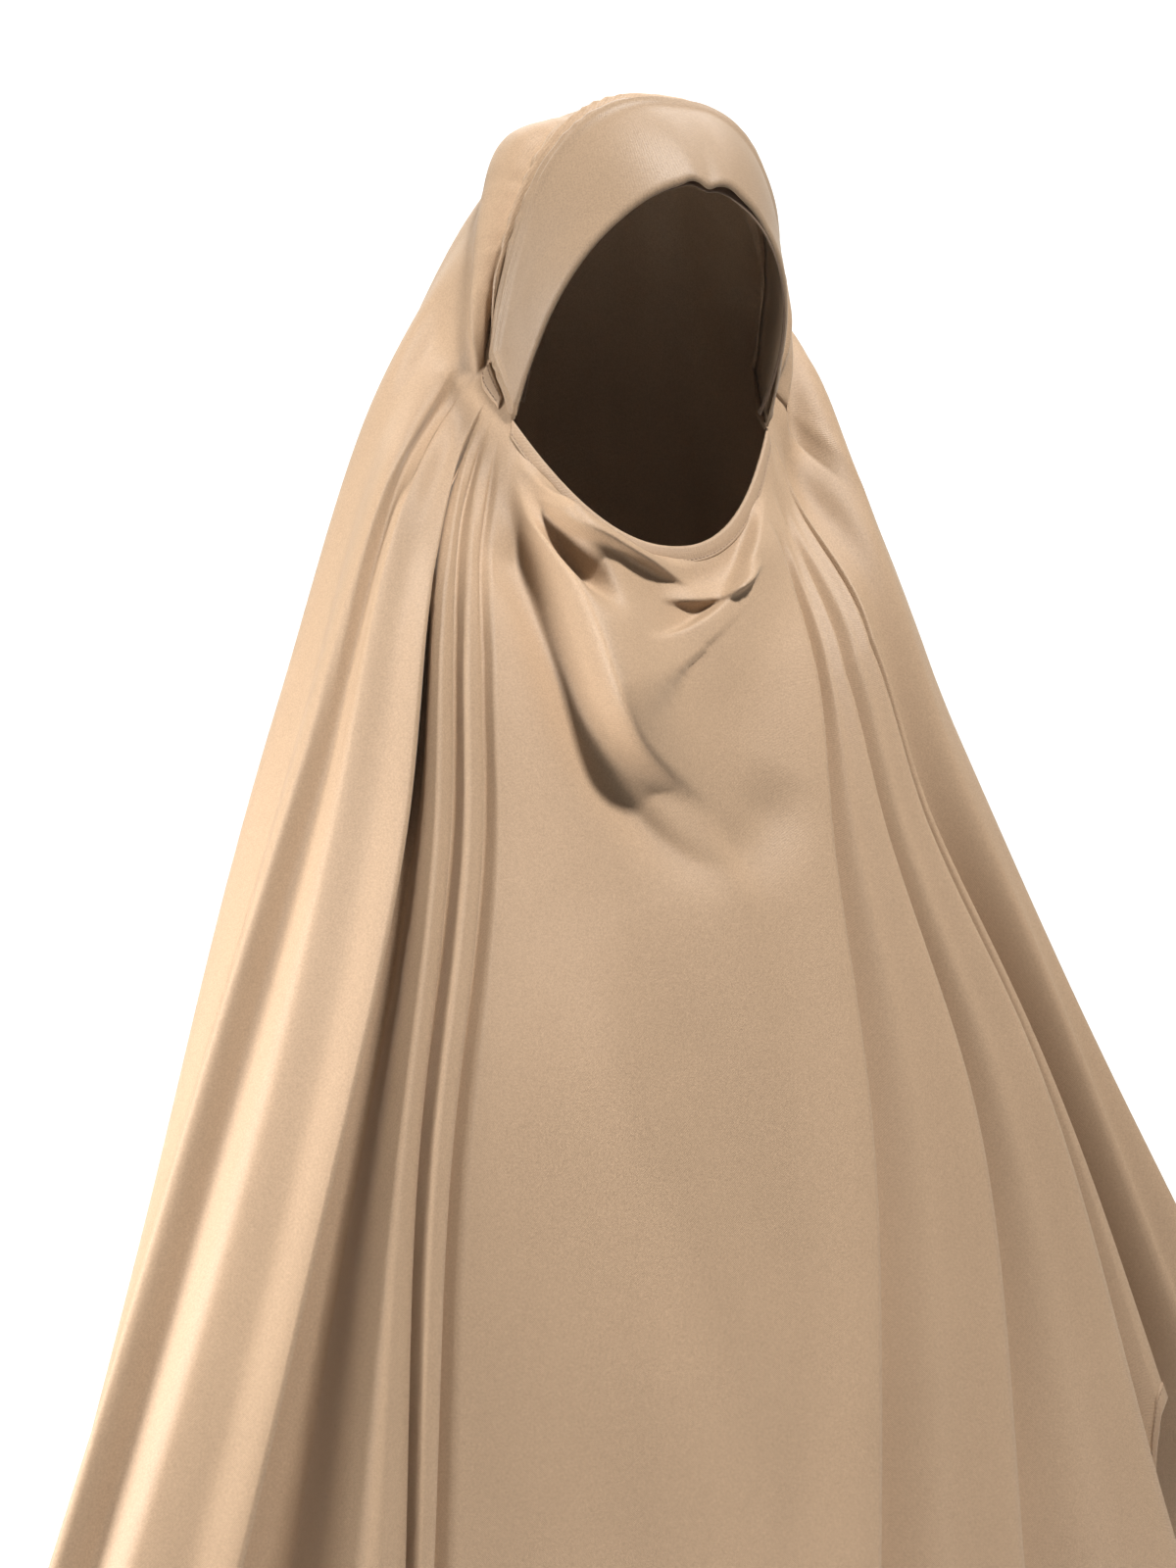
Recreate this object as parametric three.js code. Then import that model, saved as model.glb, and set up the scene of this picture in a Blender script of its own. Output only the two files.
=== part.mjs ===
// Khimar veil: one long cloth that hangs from a forehead band and closes under the chin
// Millimetres, +Z up, the face looks along -Y, +X is the wearer's left
// The origin is where the crown of the veil sits on the head

import * as THREE from 'three';

// Driving dimensions

const headHalfWidth = 77; // inside of the crown, where the head goes in
const headHalfLength = 94;
const headHalfHeight = 112;
const clothWall = 1.5;
const bandWall = 2.4; // the band is cloth folded double
const liningWall = 1.0;
const chinHemWall = 2; // folded and stitched
const seamGap = 0.3; // between pieces that are sewn together
const hemGap = 0.6; // between the cloth and the bottom hem
const seamTopForward = 37; // the crown seam crosses the head this far in front of the origin
const seamTopDrop = 3;
const seamEndDrop = 132; // the seam ends at the side gathers
const seamEndBack = 4;
const gatherLowDrop = 167; // lower end of the gathers, where the chin hem begins
const gatherLowForward = 16;
const gatherLowHalfWidth = 75;
const chinDrop = 232;
const chinForward = 53;
const bandEdgeDrop = 54; // front edge of the band at the middle of the forehead
const chinHemWidth = 9;
const bottomHemWidth = 9.5;
const liningWidth = 12;
const liningShow = 2.5; // how far the lining looks out under the band on the wearer's left
const gatherPatchWidth = 12;
const gatherPatchStart = 3.4; // clear of the band beside it
const gatherPatchWall = 2;
const shoulderHalfWidth = 143; // spread of the cloth beside the neck
const shoulderDrop = 200;
const neckHalfWidth = 197;
const neckDrop = 325;
const chestHalfWidth = 281;
const chestDrop = 560;
const hemHalfWidth = 370;
const sideLength = 800; // crown to bottom hem, down each side
const frontLength = 900; // crown to bottom hem, down the front
const backLength = 880; // crown to bottom hem, down the back
const frontHang = 170; // how far the bottom hem hangs in front of the origin
const backHang = 112; // and behind it
const pleatDepth = 80; // deepest fold at the bottom hem
const drapeDepth = 32; // height of the largest fold under the chin

// Turn is the angle round the wearer in degrees: 0 under the chin, 180 down the middle of the back,
// positive on the wearer's left. Share is the way down the cloth, from the face opening to the bottom hem.

const chinTurn = 24; // the chin hem ends here and the side gathers begin
const gatherTurn = 60; // the side gathers end here and the crown seam begins
const backTurn = 180; // middle of the back, from either side
const crownStandOff = 10; // the gathered cloth stands off the head behind the seam

// One corner of the hem hangs higher, on the wearer's left
const hemCornerPull = 0.165; // how far up, as a share of the way down the cloth
const hemCornerTurn = 56.6; // turn of its middle at the hem
const hemCornerFrontSpread = 8;
const hemCornerBackSpread = 5;
const hemCornerStart = 0.55; // share at which it begins

// Rings that the cloth passes on its way down. Lengths are counted from the origin.
// gatherFrom and gatherTo: angles on the ring between which the side gathers fan out.
// bend: 1 where the ring slopes evenly from front to back, 2 where its front and back hang low.

const rings = [
  {
    name: 'crown',
    share: 0.07,
    halfWidth: 1.25 * headHalfWidth,
    sideY: 0.15 * headHalfLength,
    frontY: -0.64 * headHalfLength,
    backY: 0.47 * headHalfLength,
    frontZ: -1.13 * chinDrop,
    sideZ: -1.2 * seamEndDrop,
    backZ: 0,
    gatherFrom: 60,
    gatherTo: 89,
    bend: 1,
  },
  {
    name: 'shoulder',
    share: 0.2,
    halfWidth: shoulderHalfWidth,
    sideY: -0.17 * headHalfLength,
    frontY: -0.83 * headHalfLength,
    backY: 1.15 * headHalfLength,
    frontZ: -1.336 * chinDrop,
    sideZ: -shoulderDrop,
    backZ: -0.45 * shoulderDrop,
    gatherFrom: 44,
    gatherTo: 80,
    bend: 1,
  },
  {
    name: 'neck',
    share: 0.36,
    halfWidth: neckHalfWidth,
    sideY: -0.152 * neckHalfWidth,
    frontY: -0.5 * neckHalfWidth,
    backY: 1.107 * backHang,
    frontZ: -1.23 * neckDrop,
    sideZ: -neckDrop,
    backZ: -0.83 * neckDrop,
    gatherFrom: 30,
    gatherTo: 66,
    bend: 1,
  },
  {
    name: 'chest',
    share: 0.68,
    halfWidth: chestHalfWidth,
    sideY: -0.263 * chestHalfWidth,
    frontY: -0.794 * frontHang,
    backY: backHang,
    frontZ: -1.09 * chestDrop,
    sideZ: -chestDrop,
    backZ: -chestDrop,
    gatherFrom: 25,
    gatherTo: 60,
    bend: 2,
  },
  {
    name: 'hem',
    share: 1,
    halfWidth: hemHalfWidth,
    sideY: -0.676 * frontHang,
    frontY: -frontHang,
    backY: backHang,
    frontZ: -frontLength,
    sideZ: -sideLength,
    backZ: -backLength,
    gatherFrom: 24,
    gatherTo: 58,
    bend: 2,
  },
];

// Crests and valleys of the hanging folds, in order round the wearer.
// neckAt, chestAt, hemAt: turn of the line at the neck, the chest and the hem.
// neck, chest, hem: height of the line off the plain cloth, as a share of pleatDepth.
// lean: how far the crest leans over its neighbour, as a share of pleatDepth.

const pleatColumns = ['name', 'neckAt', 'chestAt', 'hemAt', 'neck', 'chest', 'hem', 'lean'];
const pleatRows = [
  ['back middle crest', -180, -180, -180, 0.02, 0.1, 0.17, 0],
  ['back right valley', -166, -166, -166, -0.04, -0.15, -0.22, 0],
  ['back right crest', -152, -152, -152, 0.04, 0.13, 0.22, 0],
  ['back right valley 2', -139, -139, -139, -0.05, -0.15, -0.25, 0],
  ['back right crest 2', -126, -126, -126, 0.02, 0.1, 0.2, 0],
  ['back right valley 3', -113, -113, -113, -0.02, -0.1, -0.17, 0],
  ['right side crest', -97, -99, -101, 0.03, 0.03, -0.08, 0],
  ['right side valley', -84, -90, -94, -0.02, -0.05, -0.08, 0],
  ['upper ridge', -70, -82, -88, 0.05, 0.08, 0.12, 0],
  ['shallow valley', -65, -72, -79, -0.02, -0.04, -0.05, 0],
  ['lower ridge', -60, -62.5, -70, 0.06, 0.1, 0.1, 0],
  ['side fold flank', -51, -55.5, -62, 0.04, 0.08, 0.1, 0],
  ['side fold edge', -42.6, -49.8, -55.6, 0.06, 0.13, 0.18, 0.03],
  ['deep valley', -41.8, -48.4, -53.6, -0.2, -0.6, -0.95, 0],
  ['deep valley floor', -41.2, -44.6, -46, -0.2, -0.6, -0.95, 0],
  ['third pleat edge', -40.4, -42.4, -41.4, 0, -0.06, -0.06, -0.04],
  ['third pleat crest', -37.8, -40.6, -38, 0.04, 0.08, 0.1, 0],
  ['third pleat line', -35, -38.8, -34.6, 0, 0.02, 0.03, 0.03],
  ['groove', -34.2, -38.1, -33.9, -0.07, -0.15, -0.17, 0],
  ['second pleat crest', -31.4, -36.2, -33, 0.03, 0.06, 0.07, 0],
  ['second pleat line', -28.6, -34.3, -32, 0.01, 0.03, 0.04, 0.03],
  ['groove 2', -27.9, -33.6, -31.3, -0.06, -0.12, -0.13, 0],
  ['panel right margin', -25.6, -31.4, -29.4, 0, 0, 0, 0],
  ['panel middle', -10, -12, -12, 0.02, 0.04, 0.06, 0],
  ['panel crest', 5, 5, 0, 0.02, 0.1, 0.17, 0],
  ['panel edge', 15.8, 15, 8.6, 0.06, 0.15, 0.22, 0.03],
  ['panel drop', 17, 16.3, 10.2, -0.07, -0.17, -0.22, 0],
  ['first left pleat', 18.8, 24, 18, 0.02, 0.02, 0.02, 0],
  ['first left edge', 20.8, 31.3, 25.6, 0.05, 0.1, 0.15, 0.04],
  ['first left drop', 21.9, 32.6, 27.4, -0.06, -0.15, -0.2, 0],
  ['second left pleat', 25, 39, 38, 0.03, 0.05, 0.05, 0],
  ['second left edge', 27.8, 44.8, 47.4, 0.06, 0.12, 0.17, 0.04],
  ['second left drop', 28.9, 46.2, 49.2, -0.06, -0.12, -0.17, 0],
  ['corner pleat edge', 30.6, 49.8, 56.6, 0.03, 0.03, 0.02, 0.03],
  ['left hollow', 33.4, 53.4, 59.6, -0.14, -0.6, -1, 0],
  ['left hollow floor', 41, 60, 64, -0.14, -0.6, -1, 0],
  ['outer panel flank', 56, 70, 74, -0.05, -0.08, -0.05, 0],
  ['outer panel crest', 72, 80, 84, -0.08, -0.02, 0.34, 0],
  ['outer panel valley', 90, 95, 98, -0.08, -0.12, -0.1, 0],
  ['back left crest', 104, 109, 111, 0.02, 0.1, 0.17, 0],
  ['back left valley', 118, 122, 124, -0.03, -0.13, -0.2, 0],
  ['back left crest 2', 133, 136, 137, 0.03, 0.13, 0.22, 0],
  ['back left valley 2', 148, 150, 151, -0.04, -0.15, -0.25, 0],
  ['back left crest 3', 164, 165, 166, 0.02, 0.08, 0.12, 0],
  ['back middle crest again', 180, 180, 180, 0.02, 0.1, 0.17, 0],
];
const pleatShares = { neck: 0.22, chest: 0.55, hem: 0.88 };

// Places where the cloth stands fuller.
// turn, share: the middle of the place, turnSpread, shareSpread: its size, height: as a share of pleatDepth.

const fullnessColumns = ['name', 'turn', 'turnSpread', 'share', 'shareSpread', 'height'];
const fullnessRows = [
  ['left cheek', 82, 34, 0.057, 0.038, 0.21],
  ['left side', 89, 24, 0.142, 0.05, 0.27],
  ['right crown', -132, 16, 0.035, 0.03, 0.075],
];

// Folds hung under the chin, each along a line seen from the front.
// height: as a share of drapeDepth, above, below: widths on both sides of the line, as shares of
// gatherLowHalfWidth, grow, fade: parts of the line in which the fold grows and fades,
// line: points across, as shares of gatherLowHalfWidth, and down, as shares of chinDrop.

const drapeColumns = ['name', 'height', 'above', 'below', 'grow', 'fade', 'line'];
const drapeRows = [
  ['diagonal roll', 1, 0.59, 0.13, 0.1, 0.3,
    [[-1.17, 0.71], [-1.13, 0.86], [-1.01, 1.02], [-0.87, 1.23], [-0.6, 1.42], [0.1, 1.57]]],
  ['diagonal valley', -0.2, 0.13, 0.2, 0.15, 0.35,
    [[-1.15, 0.91], [-1.04, 1.08], [-0.93, 1.29], [-0.7, 1.49], [-0.26, 1.66], [0.28, 1.74]]],
  ['inner bowl', -0.72, 0.17, 0.23, 0.25, 0.3,
    [[-0.99, 0.89], [-0.83, 1.01], [-0.59, 1.09], [-0.27, 1.13], [0.21, 1.13]]],
  ['first cowl', 0.4, 0.35, 0.12, 0.12, 0.35,
    [[0.77, 0.78], [0.69, 0.93], [0.48, 1.03], [0.21, 1.13], [-0.12, 1.2], [-0.56, 1.26]]],
  ['lower dent', -0.16, 0.27, 0.27, 0.3, 0.4,
    [[0, 1.7], [0.35, 1.62], [0.61, 1.48]]],
  ['soft ridge', 0.19, 0.53, 0.4, 0.3, 0.4,
    [[-1.04, 1.72], [-0.72, 2.16], [-0.35, 2.59], [0.13, 3.1]]],
  ['soft valley', -0.16, 0.45, 0.53, 0.3, 0.45,
    [[-0.59, 1.77], [-0.24, 2.16], [0.16, 2.59], [0.53, 3.02]]],
];

// Helpers for numbers and tables

const degrees = Math.PI / 180;
const quarterTurn = Math.PI / 2;
const clamp = (value) => Math.min(1, Math.max(0, value));
const ease = (value) => clamp(value) ** 2 * (3 - 2 * clamp(value));
const mix = (from, to, part) => from + (to - from) * part;

function readRows(columns, rows) {
  return rows.map((row) => Object.fromEntries(columns.map((column, place) => [column, row[place]])));
}

// Smooth curve through points at rising places, with slopes taken from the neighbours
function curveThrough(places, values, at) {
  const last = places.length - 1;
  let start = 0;
  while (start < last - 1 && at >= places[start + 1]) start += 1;
  const slopeOf = (span) => (values[span + 1] - values[span]) / (places[span + 1] - places[span]);
  const tangent = (knot) => {
    if (knot === 0) return slopeOf(0);
    if (knot === last) return slopeOf(last - 1);
    const before = places[knot] - places[knot - 1];
    const after = places[knot + 1] - places[knot];
    return (slopeOf(knot - 1) * after + slopeOf(knot) * before) / (before + after);
  };
  const width = places[start + 1] - places[start];
  const part = (at - places[start]) / width;
  const square = part * part;
  const cube = square * part;
  return (2 * cube - 3 * square + 1) * values[start] + (cube - 2 * square + part) * width * tangent(start)
    + (3 * square - 2 * cube) * values[start + 1] + (cube - square) * width * tangent(start + 1);
}

const pleats = readRows(pleatColumns, pleatRows);
const fullness = readRows(fullnessColumns, fullnessRows);
const drapes = readRows(drapeColumns, drapeRows);

// The space for the head: points inside it move out to its surface plus the clearance

// How far out a point is, where 1 is on that surface
function headReach(point, clearance) {
  return Math.hypot(
    point.x / (headHalfWidth + clearance),
    point.y / (headHalfLength + clearance),
    (point.z + headHalfHeight) / (headHalfHeight + clearance),
  );
}

function ontoHead(point, clearance) {
  const reach = headReach(point, clearance);
  const fromCentre = point.clone().setZ(point.z + headHalfHeight).divideScalar(reach);
  return fromCentre.setZ(fromCentre.z - headHalfHeight);
}

function offHead(point, clearance) {
  return headReach(point, clearance) < 1 ? ontoHead(point, clearance) : point.clone();
}

// Lines of the face opening

const seamHalfWidth = headHalfWidth + 2;
const seamRound = 0.8; // below 1 the seam is squarer than an ellipse
const chinRound = 2.2; // above 2 the chin hem is flatter than a parabola
const gatherRound = 0.6; // below 1 the folds leave the upper part of the gather

function seamPoint(part) {
  // part: 0 at the side gathers, 1 at the top of the head
  const across = Math.cos(quarterTurn * part) ** seamRound;
  const up = Math.sin(quarterTurn * part) ** seamRound;
  return new THREE.Vector3(
    seamHalfWidth * across,
    mix(seamEndBack, -seamTopForward, up),
    mix(-seamEndDrop, -seamTopDrop, up),
  );
}

function chinPoint(part) {
  // part: 0 in the middle of the chin, 1 at the side gathers
  return new THREE.Vector3(
    gatherLowHalfWidth * part,
    mix(-chinForward, -gatherLowForward, part ** 2),
    mix(-chinDrop, -gatherLowDrop, part ** chinRound),
  );
}

function faceLoop(turn) {
  const away = Math.abs(turn);
  let point;
  if (away <= chinTurn) {
    point = chinPoint(away / chinTurn);
  } else if (away <= gatherTurn) {
    point = chinPoint(1).lerp(seamPoint(0), ((away - chinTurn) / (gatherTurn - chinTurn)) ** gatherRound);
  } else {
    point = seamPoint(Math.min(1, (away - gatherTurn) / (backTurn - gatherTurn)));
  }
  if (turn < 0) point.x = -point.x;
  return point;
}

function ringPoint(ring, turn) {
  const knots = [0, chinTurn, gatherTurn, backTurn];
  const angles = [0, ring.gatherFrom, ring.gatherTo, backTurn];
  const angle = curveThrough(knots, angles, Math.abs(turn)) * degrees;
  const forward = Math.cos(angle);
  const reachY = forward > 0 ? ring.frontY : ring.backY;
  const reachZ = forward > 0 ? ring.frontZ : ring.backZ;
  return new THREE.Vector3(
    ring.halfWidth * Math.sin(angle) * (turn < 0 ? -1 : 1),
    mix(ring.sideY, reachY, Math.abs(forward)),
    mix(ring.sideZ, reachZ, Math.abs(forward) ** ring.bend),
  );
}

// The plain cloth, before its folds

const standOffTopSpan = 55; // degrees of turn in which the stand-off fades over the top of the head
const standOffSideSpan = 30; // and at the side gathers

function plainCloth(anyTurn, share) {
  const turn = anyTurn - 2 * backTurn * Math.round(anyTurn / (2 * backTurn));
  const places = [0, ...rings.map((ring) => ring.share)];
  const points = [faceLoop(turn), ...rings.map((ring) => ringPoint(ring, turn))];
  const point = new THREE.Vector3(
    curveThrough(places, points.map((p) => p.x), share),
    curveThrough(places, points.map((p) => p.y), share),
    curveThrough(places, points.map((p) => p.z), share),
  );
  const away = Math.abs(turn);
  const overTop = ease((backTurn - away) / standOffTopSpan);
  const overSide = overTop * ease((away - chinTurn * 2) / standOffSideSpan);
  return offHead(point, clothWall + crownStandOff * ease(share / rings[0].share) * overSide);
}

// Folds

const foldStart = 0.02; // share at which the folds begin
const foldRise = 0.1; // and the share in which they reach their height
const foldTopHeight = 0.4; // height at the face opening, as a share of the height at the neck
const leanStart = 0.05;
const leanRise = 0.6;
const fullnessRise = 0.02; // share in which the fuller places begin
const drapeStart = 0.008; // share at which the folds under the chin begin
const drapeRise = 0.02;
const drapeFront = 20; // they fade to nothing this far in front of the origin

function pleatTurn(pleat, share) {
  const { neck, chest, hem } = pleatShares;
  const held = Math.min(Math.max(share, neck), 1);
  return curveThrough([neck, chest, hem], [pleat.neckAt, pleat.chestAt, pleat.hemAt], held);
}

function pleatHeight(pleat, share) {
  const { neck, chest } = pleatShares;
  const heights = [pleat.neck * foldTopHeight, pleat.neck, pleat.chest, pleat.hem];
  const height = curveThrough([0, neck, chest, 1], heights, share);
  return pleatDepth * height * ease((share - foldStart) / foldRise);
}

function fullnessHeight(turn, share) {
  const heights = fullness.map((place) => {
    const besides = (turn - place.turn) / place.turnSpread;
    const below = (share - place.share) / place.shareSpread;
    return place.height * Math.exp(-(besides ** 2) - below ** 2);
  });
  return pleatDepth * heights.reduce((sum, height) => sum + height, 0) * ease(share / fullnessRise);
}

// Lines of the folds under the chin as short straight steps, seen from the front
const drapeSteps = 24;
const drapePaths = drapes.map((drape) => {
  const knots = drape.line.map((point, place) => place);
  const across = drape.line.map((point) => point[0] * gatherLowHalfWidth);
  const height = drape.line.map((point) => -point[1] * chinDrop);
  return Array.from({ length: drapeSteps + 1 }, (_, step) => {
    const at = (step / drapeSteps) * (knots.length - 1);
    return new THREE.Vector2(curveThrough(knots, across, at), curveThrough(knots, height, at));
  });
});

// Where a point lies beside a path: its distance, its side and the way along
function besidePath(path, x, z) {
  let best = { distance: Infinity, side: 0, along: 0 };
  for (let step = 0; step < drapeSteps; step += 1) {
    const start = path[step];
    const way = path[step + 1].clone().sub(start);
    const from = new THREE.Vector2(x, z).sub(start);
    const part = clamp(from.dot(way) / way.lengthSq());
    const distance = from.clone().addScaledVector(way, -part).length();
    if (distance < best.distance) {
      best = { distance, side: way.cross(from), along: (step + part) / drapeSteps };
    }
  }
  return best;
}

function drapeHeight(point, share) {
  const front = ease((-point.y - drapeFront) / drapeFront) * ease((share - drapeStart) / drapeRise);
  if (front === 0) return 0;
  const heights = drapes.map((drape, place) => {
    const { distance, side, along } = besidePath(drapePaths[place], point.x, point.z);
    const width = gatherLowHalfWidth * (side > 0 ? drape.above : drape.below);
    const held = ease(along / drape.grow) * ease((1 - along) / drape.fade);
    return drape.height * Math.exp(-((distance / width) ** 2)) * held;
  });
  return drapeDepth * heights.reduce((sum, height) => sum + height, 0) * front;
}

// Columns of the mesh follow the pleats: each gap between two pleats is cut into equal parts

const widestColumn = 7.2; // degrees of turn at the chest
const widestPanelColumn = 3.8; // the front panel also carries the folds under the chin

function clothColumns() {
  const columns = [];
  for (let place = 0; place < pleats.length - 1; place += 1) {
    const gap = pleats[place + 1].chestAt - pleats[place].chestAt;
    const widest = pleats[place].name.startsWith('panel') ? widestPanelColumn : widestColumn;
    const parts = Math.max(1, Math.round(gap / widest));
    for (let part = 0; part < parts; part += 1) columns.push({ place, part: part / parts });
  }
  return columns;
}

const columns = clothColumns();
const turnStep = 0.5; // small steps that find the direction of the plain cloth
const shareStep = 0.005;

function columnTurn(column, share) {
  const from = pleatTurn(pleats[column.place], share);
  const to = pleatTurn(pleats[column.place + 1], share);
  return mix(from, to, column.part);
}

function outwardAt(turn, share) {
  const round = plainCloth(turn + turnStep, share).sub(plainCloth(turn - turnStep, share)).normalize();
  const nearTop = Math.max(share - shareStep, 0);
  const nearHem = Math.min(share + shareStep, 1);
  const down = plainCloth(turn, nearHem).sub(plainCloth(turn, nearTop)).normalize();
  return { round, out: down.cross(round).normalize() };
}

// The raised corner of the hem takes less of the way down
function raisedShare(column, share) {
  const turn = mix(pleats[column.place].hemAt, pleats[column.place + 1].hemAt, column.part);
  const spread = turn < hemCornerTurn ? hemCornerFrontSpread : hemCornerBackSpread;
  const corner = Math.exp(-(((turn - hemCornerTurn) / spread) ** 2));
  return share - hemCornerPull * corner * ease((share - hemCornerStart) / (1 - hemCornerStart));
}

function clothPoint(column, flatShare) {
  const share = raisedShare(column, flatShare);
  const turn = columnTurn(column, share);
  const before = pleats[column.place];
  const after = pleats[column.place + 1];
  const { round, out } = outwardAt(turn, share);
  const height = mix(pleatHeight(before, share), pleatHeight(after, share), ease(column.part));
  const lean = mix(before.lean, after.lean, ease(column.part)) * pleatDepth;
  const point = plainCloth(turn, share);
  const relief = height + drapeHeight(point, share) + fullnessHeight(turn, share);
  point.addScaledVector(out, relief);
  point.addScaledVector(round, lean * ease((share - leanStart) / leanRise));
  return offHead(point, clothWall);
}

// Solids

function closedMesh(name, positions, triangles, material) {
  const geometry = new THREE.BufferGeometry();
  geometry.setAttribute('position', new THREE.Float32BufferAttribute(positions, 3));
  geometry.setIndex(triangles);
  geometry.computeVertexNormals();
  const mesh = new THREE.Mesh(geometry, material);
  mesh.name = name;
  return mesh;
}

// A point of the cloth and the direction that the folded cloth faces there
function clothSample(column, share) {
  const index = columns.indexOf(column);
  const before = columns[(index + columns.length - 1) % columns.length];
  const after = columns[(index + 1) % columns.length];
  const high = Math.max(share - shareStep, 0);
  const low = Math.min(share + shareStep, 1);
  const point = clothPoint(column, share);
  const comesFrom = point.clone().sub(clothPoint(before, share)).normalize();
  const along = clothPoint(after, share).sub(point).normalize().add(comesFrom);
  const down = clothPoint(column, low).sub(clothPoint(column, high));
  return { point, normal: down.cross(along).normalize() };
}

// Directions that a grid of points faces. The grid is [row][column]; round means the columns close up.
function gridNormals(grid, round) {
  const lastRow = grid.length - 1;
  const lastColumn = grid[0].length - 1;
  return grid.map((row, r) => row.map((point, c) => {
    const left = c > 0 ? row[c - 1] : row[round ? lastColumn : 0];
    const right = c < lastColumn ? row[c + 1] : row[round ? 0 : lastColumn];
    const above = grid[Math.max(r - 1, 0)][c];
    const below = grid[Math.min(r + 1, lastRow)][c];
    const along = right.clone().sub(left);
    const down = below.clone().sub(above);
    return down.cross(along).normalize();
  }));
}

// A wall laid on both sides of a grid of cloth samples
function clothWallSolid(name, samples, wall, round, material) {
  const grid = samples.map((row) => row.map((sample) => sample.point));
  const normals = samples.map((row) => row.map((sample) => sample.normal));
  return wallFromGrid(name, grid, wall, round, material, normals);
}

// A wall laid on both sides of a grid of points, closed along every edge
function wallFromGrid(name, grid, wall, round, material, facing) {
  const normals = facing ?? gridNormals(grid, round);
  const rows = grid.length;
  const across = grid[0].length;
  const positions = [];
  [0.5, -0.5].forEach((side) => {
    grid.forEach((row, r) => row.forEach((point, c) => {
      const moved = point.clone().addScaledVector(normals[r][c], wall * side);
      positions.push(moved.x, moved.y, moved.z);
    }));
  });
  const inner = rows * across;
  const triangles = [];
  const quad = (a, b, c, d) => triangles.push(a, b, c, a, c, d);
  const spans = round ? across : across - 1;
  for (let r = 0; r < rows - 1; r += 1) {
    for (let c = 0; c < spans; c += 1) {
      const next = (c + 1) % across;
      const a = r * across + c;
      const b = (r + 1) * across + c;
      const d = r * across + next;
      const e = (r + 1) * across + next;
      quad(a, b, e, d);
      quad(inner + a, inner + d, inner + e, inner + b);
    }
  }
  for (let c = 0; c < spans; c += 1) {
    const next = (c + 1) % across;
    const base = (rows - 1) * across;
    quad(c, next, inner + next, inner + c);
    quad(base + c, inner + base + c, inner + base + next, base + next);
  }
  if (!round) {
    for (let r = 0; r < rows - 1; r += 1) {
      const a = r * across;
      const b = (r + 1) * across;
      const end = across - 1;
      quad(a, inner + a, inner + b, b);
      quad(a + end, b + end, inner + b + end, inner + a + end);
    }
  }
  return closedMesh(name, positions, triangles, material);
}

const clothMaterial = new THREE.MeshStandardMaterial({ color: 0xbe9f82, roughness: 0.62, metalness: 0 });
const liningMaterial = new THREE.MeshStandardMaterial({ color: 0x8f7159, roughness: 0.75, metalness: 0 });

// Shares at which the hems end, from their widths and the length of cloth beside them

function shareForWidth(turn, width) {
  const span = 0.03;
  const length = plainCloth(turn, 0).distanceTo(plainCloth(turn, span));
  return (span * width) / length;
}

function bottomShare(column, width) {
  const span = 0.01;
  const length = clothPoint(column, 1 - span).distanceTo(clothPoint(column, 1));
  return 1 - (span * width) / length;
}

const isChinColumn = (column) => Math.abs(columnTurn(column, 0)) <= chinTurn + 0.7;
const chinColumns = columns.filter(isChinColumn);

function veilTopShare(column) {
  // the cloth begins under the chin hem, and at the seam elsewhere
  const turn = columnTurn(column, 0);
  return shareForWidth(turn, isChinColumn(column) ? chinHemWidth + seamGap : seamGap / 2);
}

const clothRows = 33;
const rowCrowding = 1.45; // above 1 the rows lie closer together near the face

function makeVeil() {
  const tops = columns.map(veilTopShare);
  const bottoms = columns.map((column) => bottomShare(column, bottomHemWidth + hemGap));
  const grid = [];
  for (let r = 0; r < clothRows; r += 1) {
    const part = (r / (clothRows - 1)) ** rowCrowding;
    grid.push(columns.map((column, place) => clothSample(column, mix(tops[place], bottoms[place], part))));
  }
  return clothWallSolid('veil', grid, clothWall, true, clothMaterial);
}

function makeBottomHem() {
  const rowAt = (width) => columns.map((column) => clothSample(column, bottomShare(column, width)));
  const grid = [bottomHemWidth, 0].map(rowAt);
  return clothWallSolid('bottom_hem', grid, clothWall, true, clothMaterial);
}

function makeChinHem() {
  const hemShare = (column) => shareForWidth(columnTurn(column, 0), chinHemWidth);
  const rowAt = (part) => chinColumns.map((column) => clothSample(column, hemShare(column) * part));
  const grid = [0, 0.5, 1].map(rowAt);
  return clothWallSolid('chin_hem', grid, chinHemWall, false, clothMaterial);
}

// Band round the forehead. Its back edge follows the crown seam and then the gather down to the chin hem.
// part: signed, 0 over the middle of the forehead, -1 and 1 at the ends of the chin hem

const bandEndOverlap = 2; // the band ends this far inside the lower end of the gather
const bandEndHalfWidth = gatherLowHalfWidth - bandEndOverlap;
const bandEndForward = gatherLowForward + bandEndOverlap / 2;
const bandEdgeForward = headHalfLength - 10; // front edge of the band at the middle of the forehead

function seamAt(part) {
  return faceLoop((part < 0 ? -1 : 1) * (backTurn - (backTurn - chinTurn) * Math.abs(part)));
}

function edgeAt(part) {
  const quarter = quarterTurn * part;
  const fall = 1 - Math.cos(quarter);
  return new THREE.Vector3(
    bandEndHalfWidth * Math.sin(quarter),
    mix(-bandEdgeForward, -bandEndForward, fall),
    mix(-bandEdgeDrop, -gatherLowDrop, fall),
  );
}

const bandRows = 6;
const seamMargin = 2; // degrees of turn kept between the seam columns and the side gathers
const gatherTurns = [26, 32, 44, 55]; // turns of the band's columns beside the gathers

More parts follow.
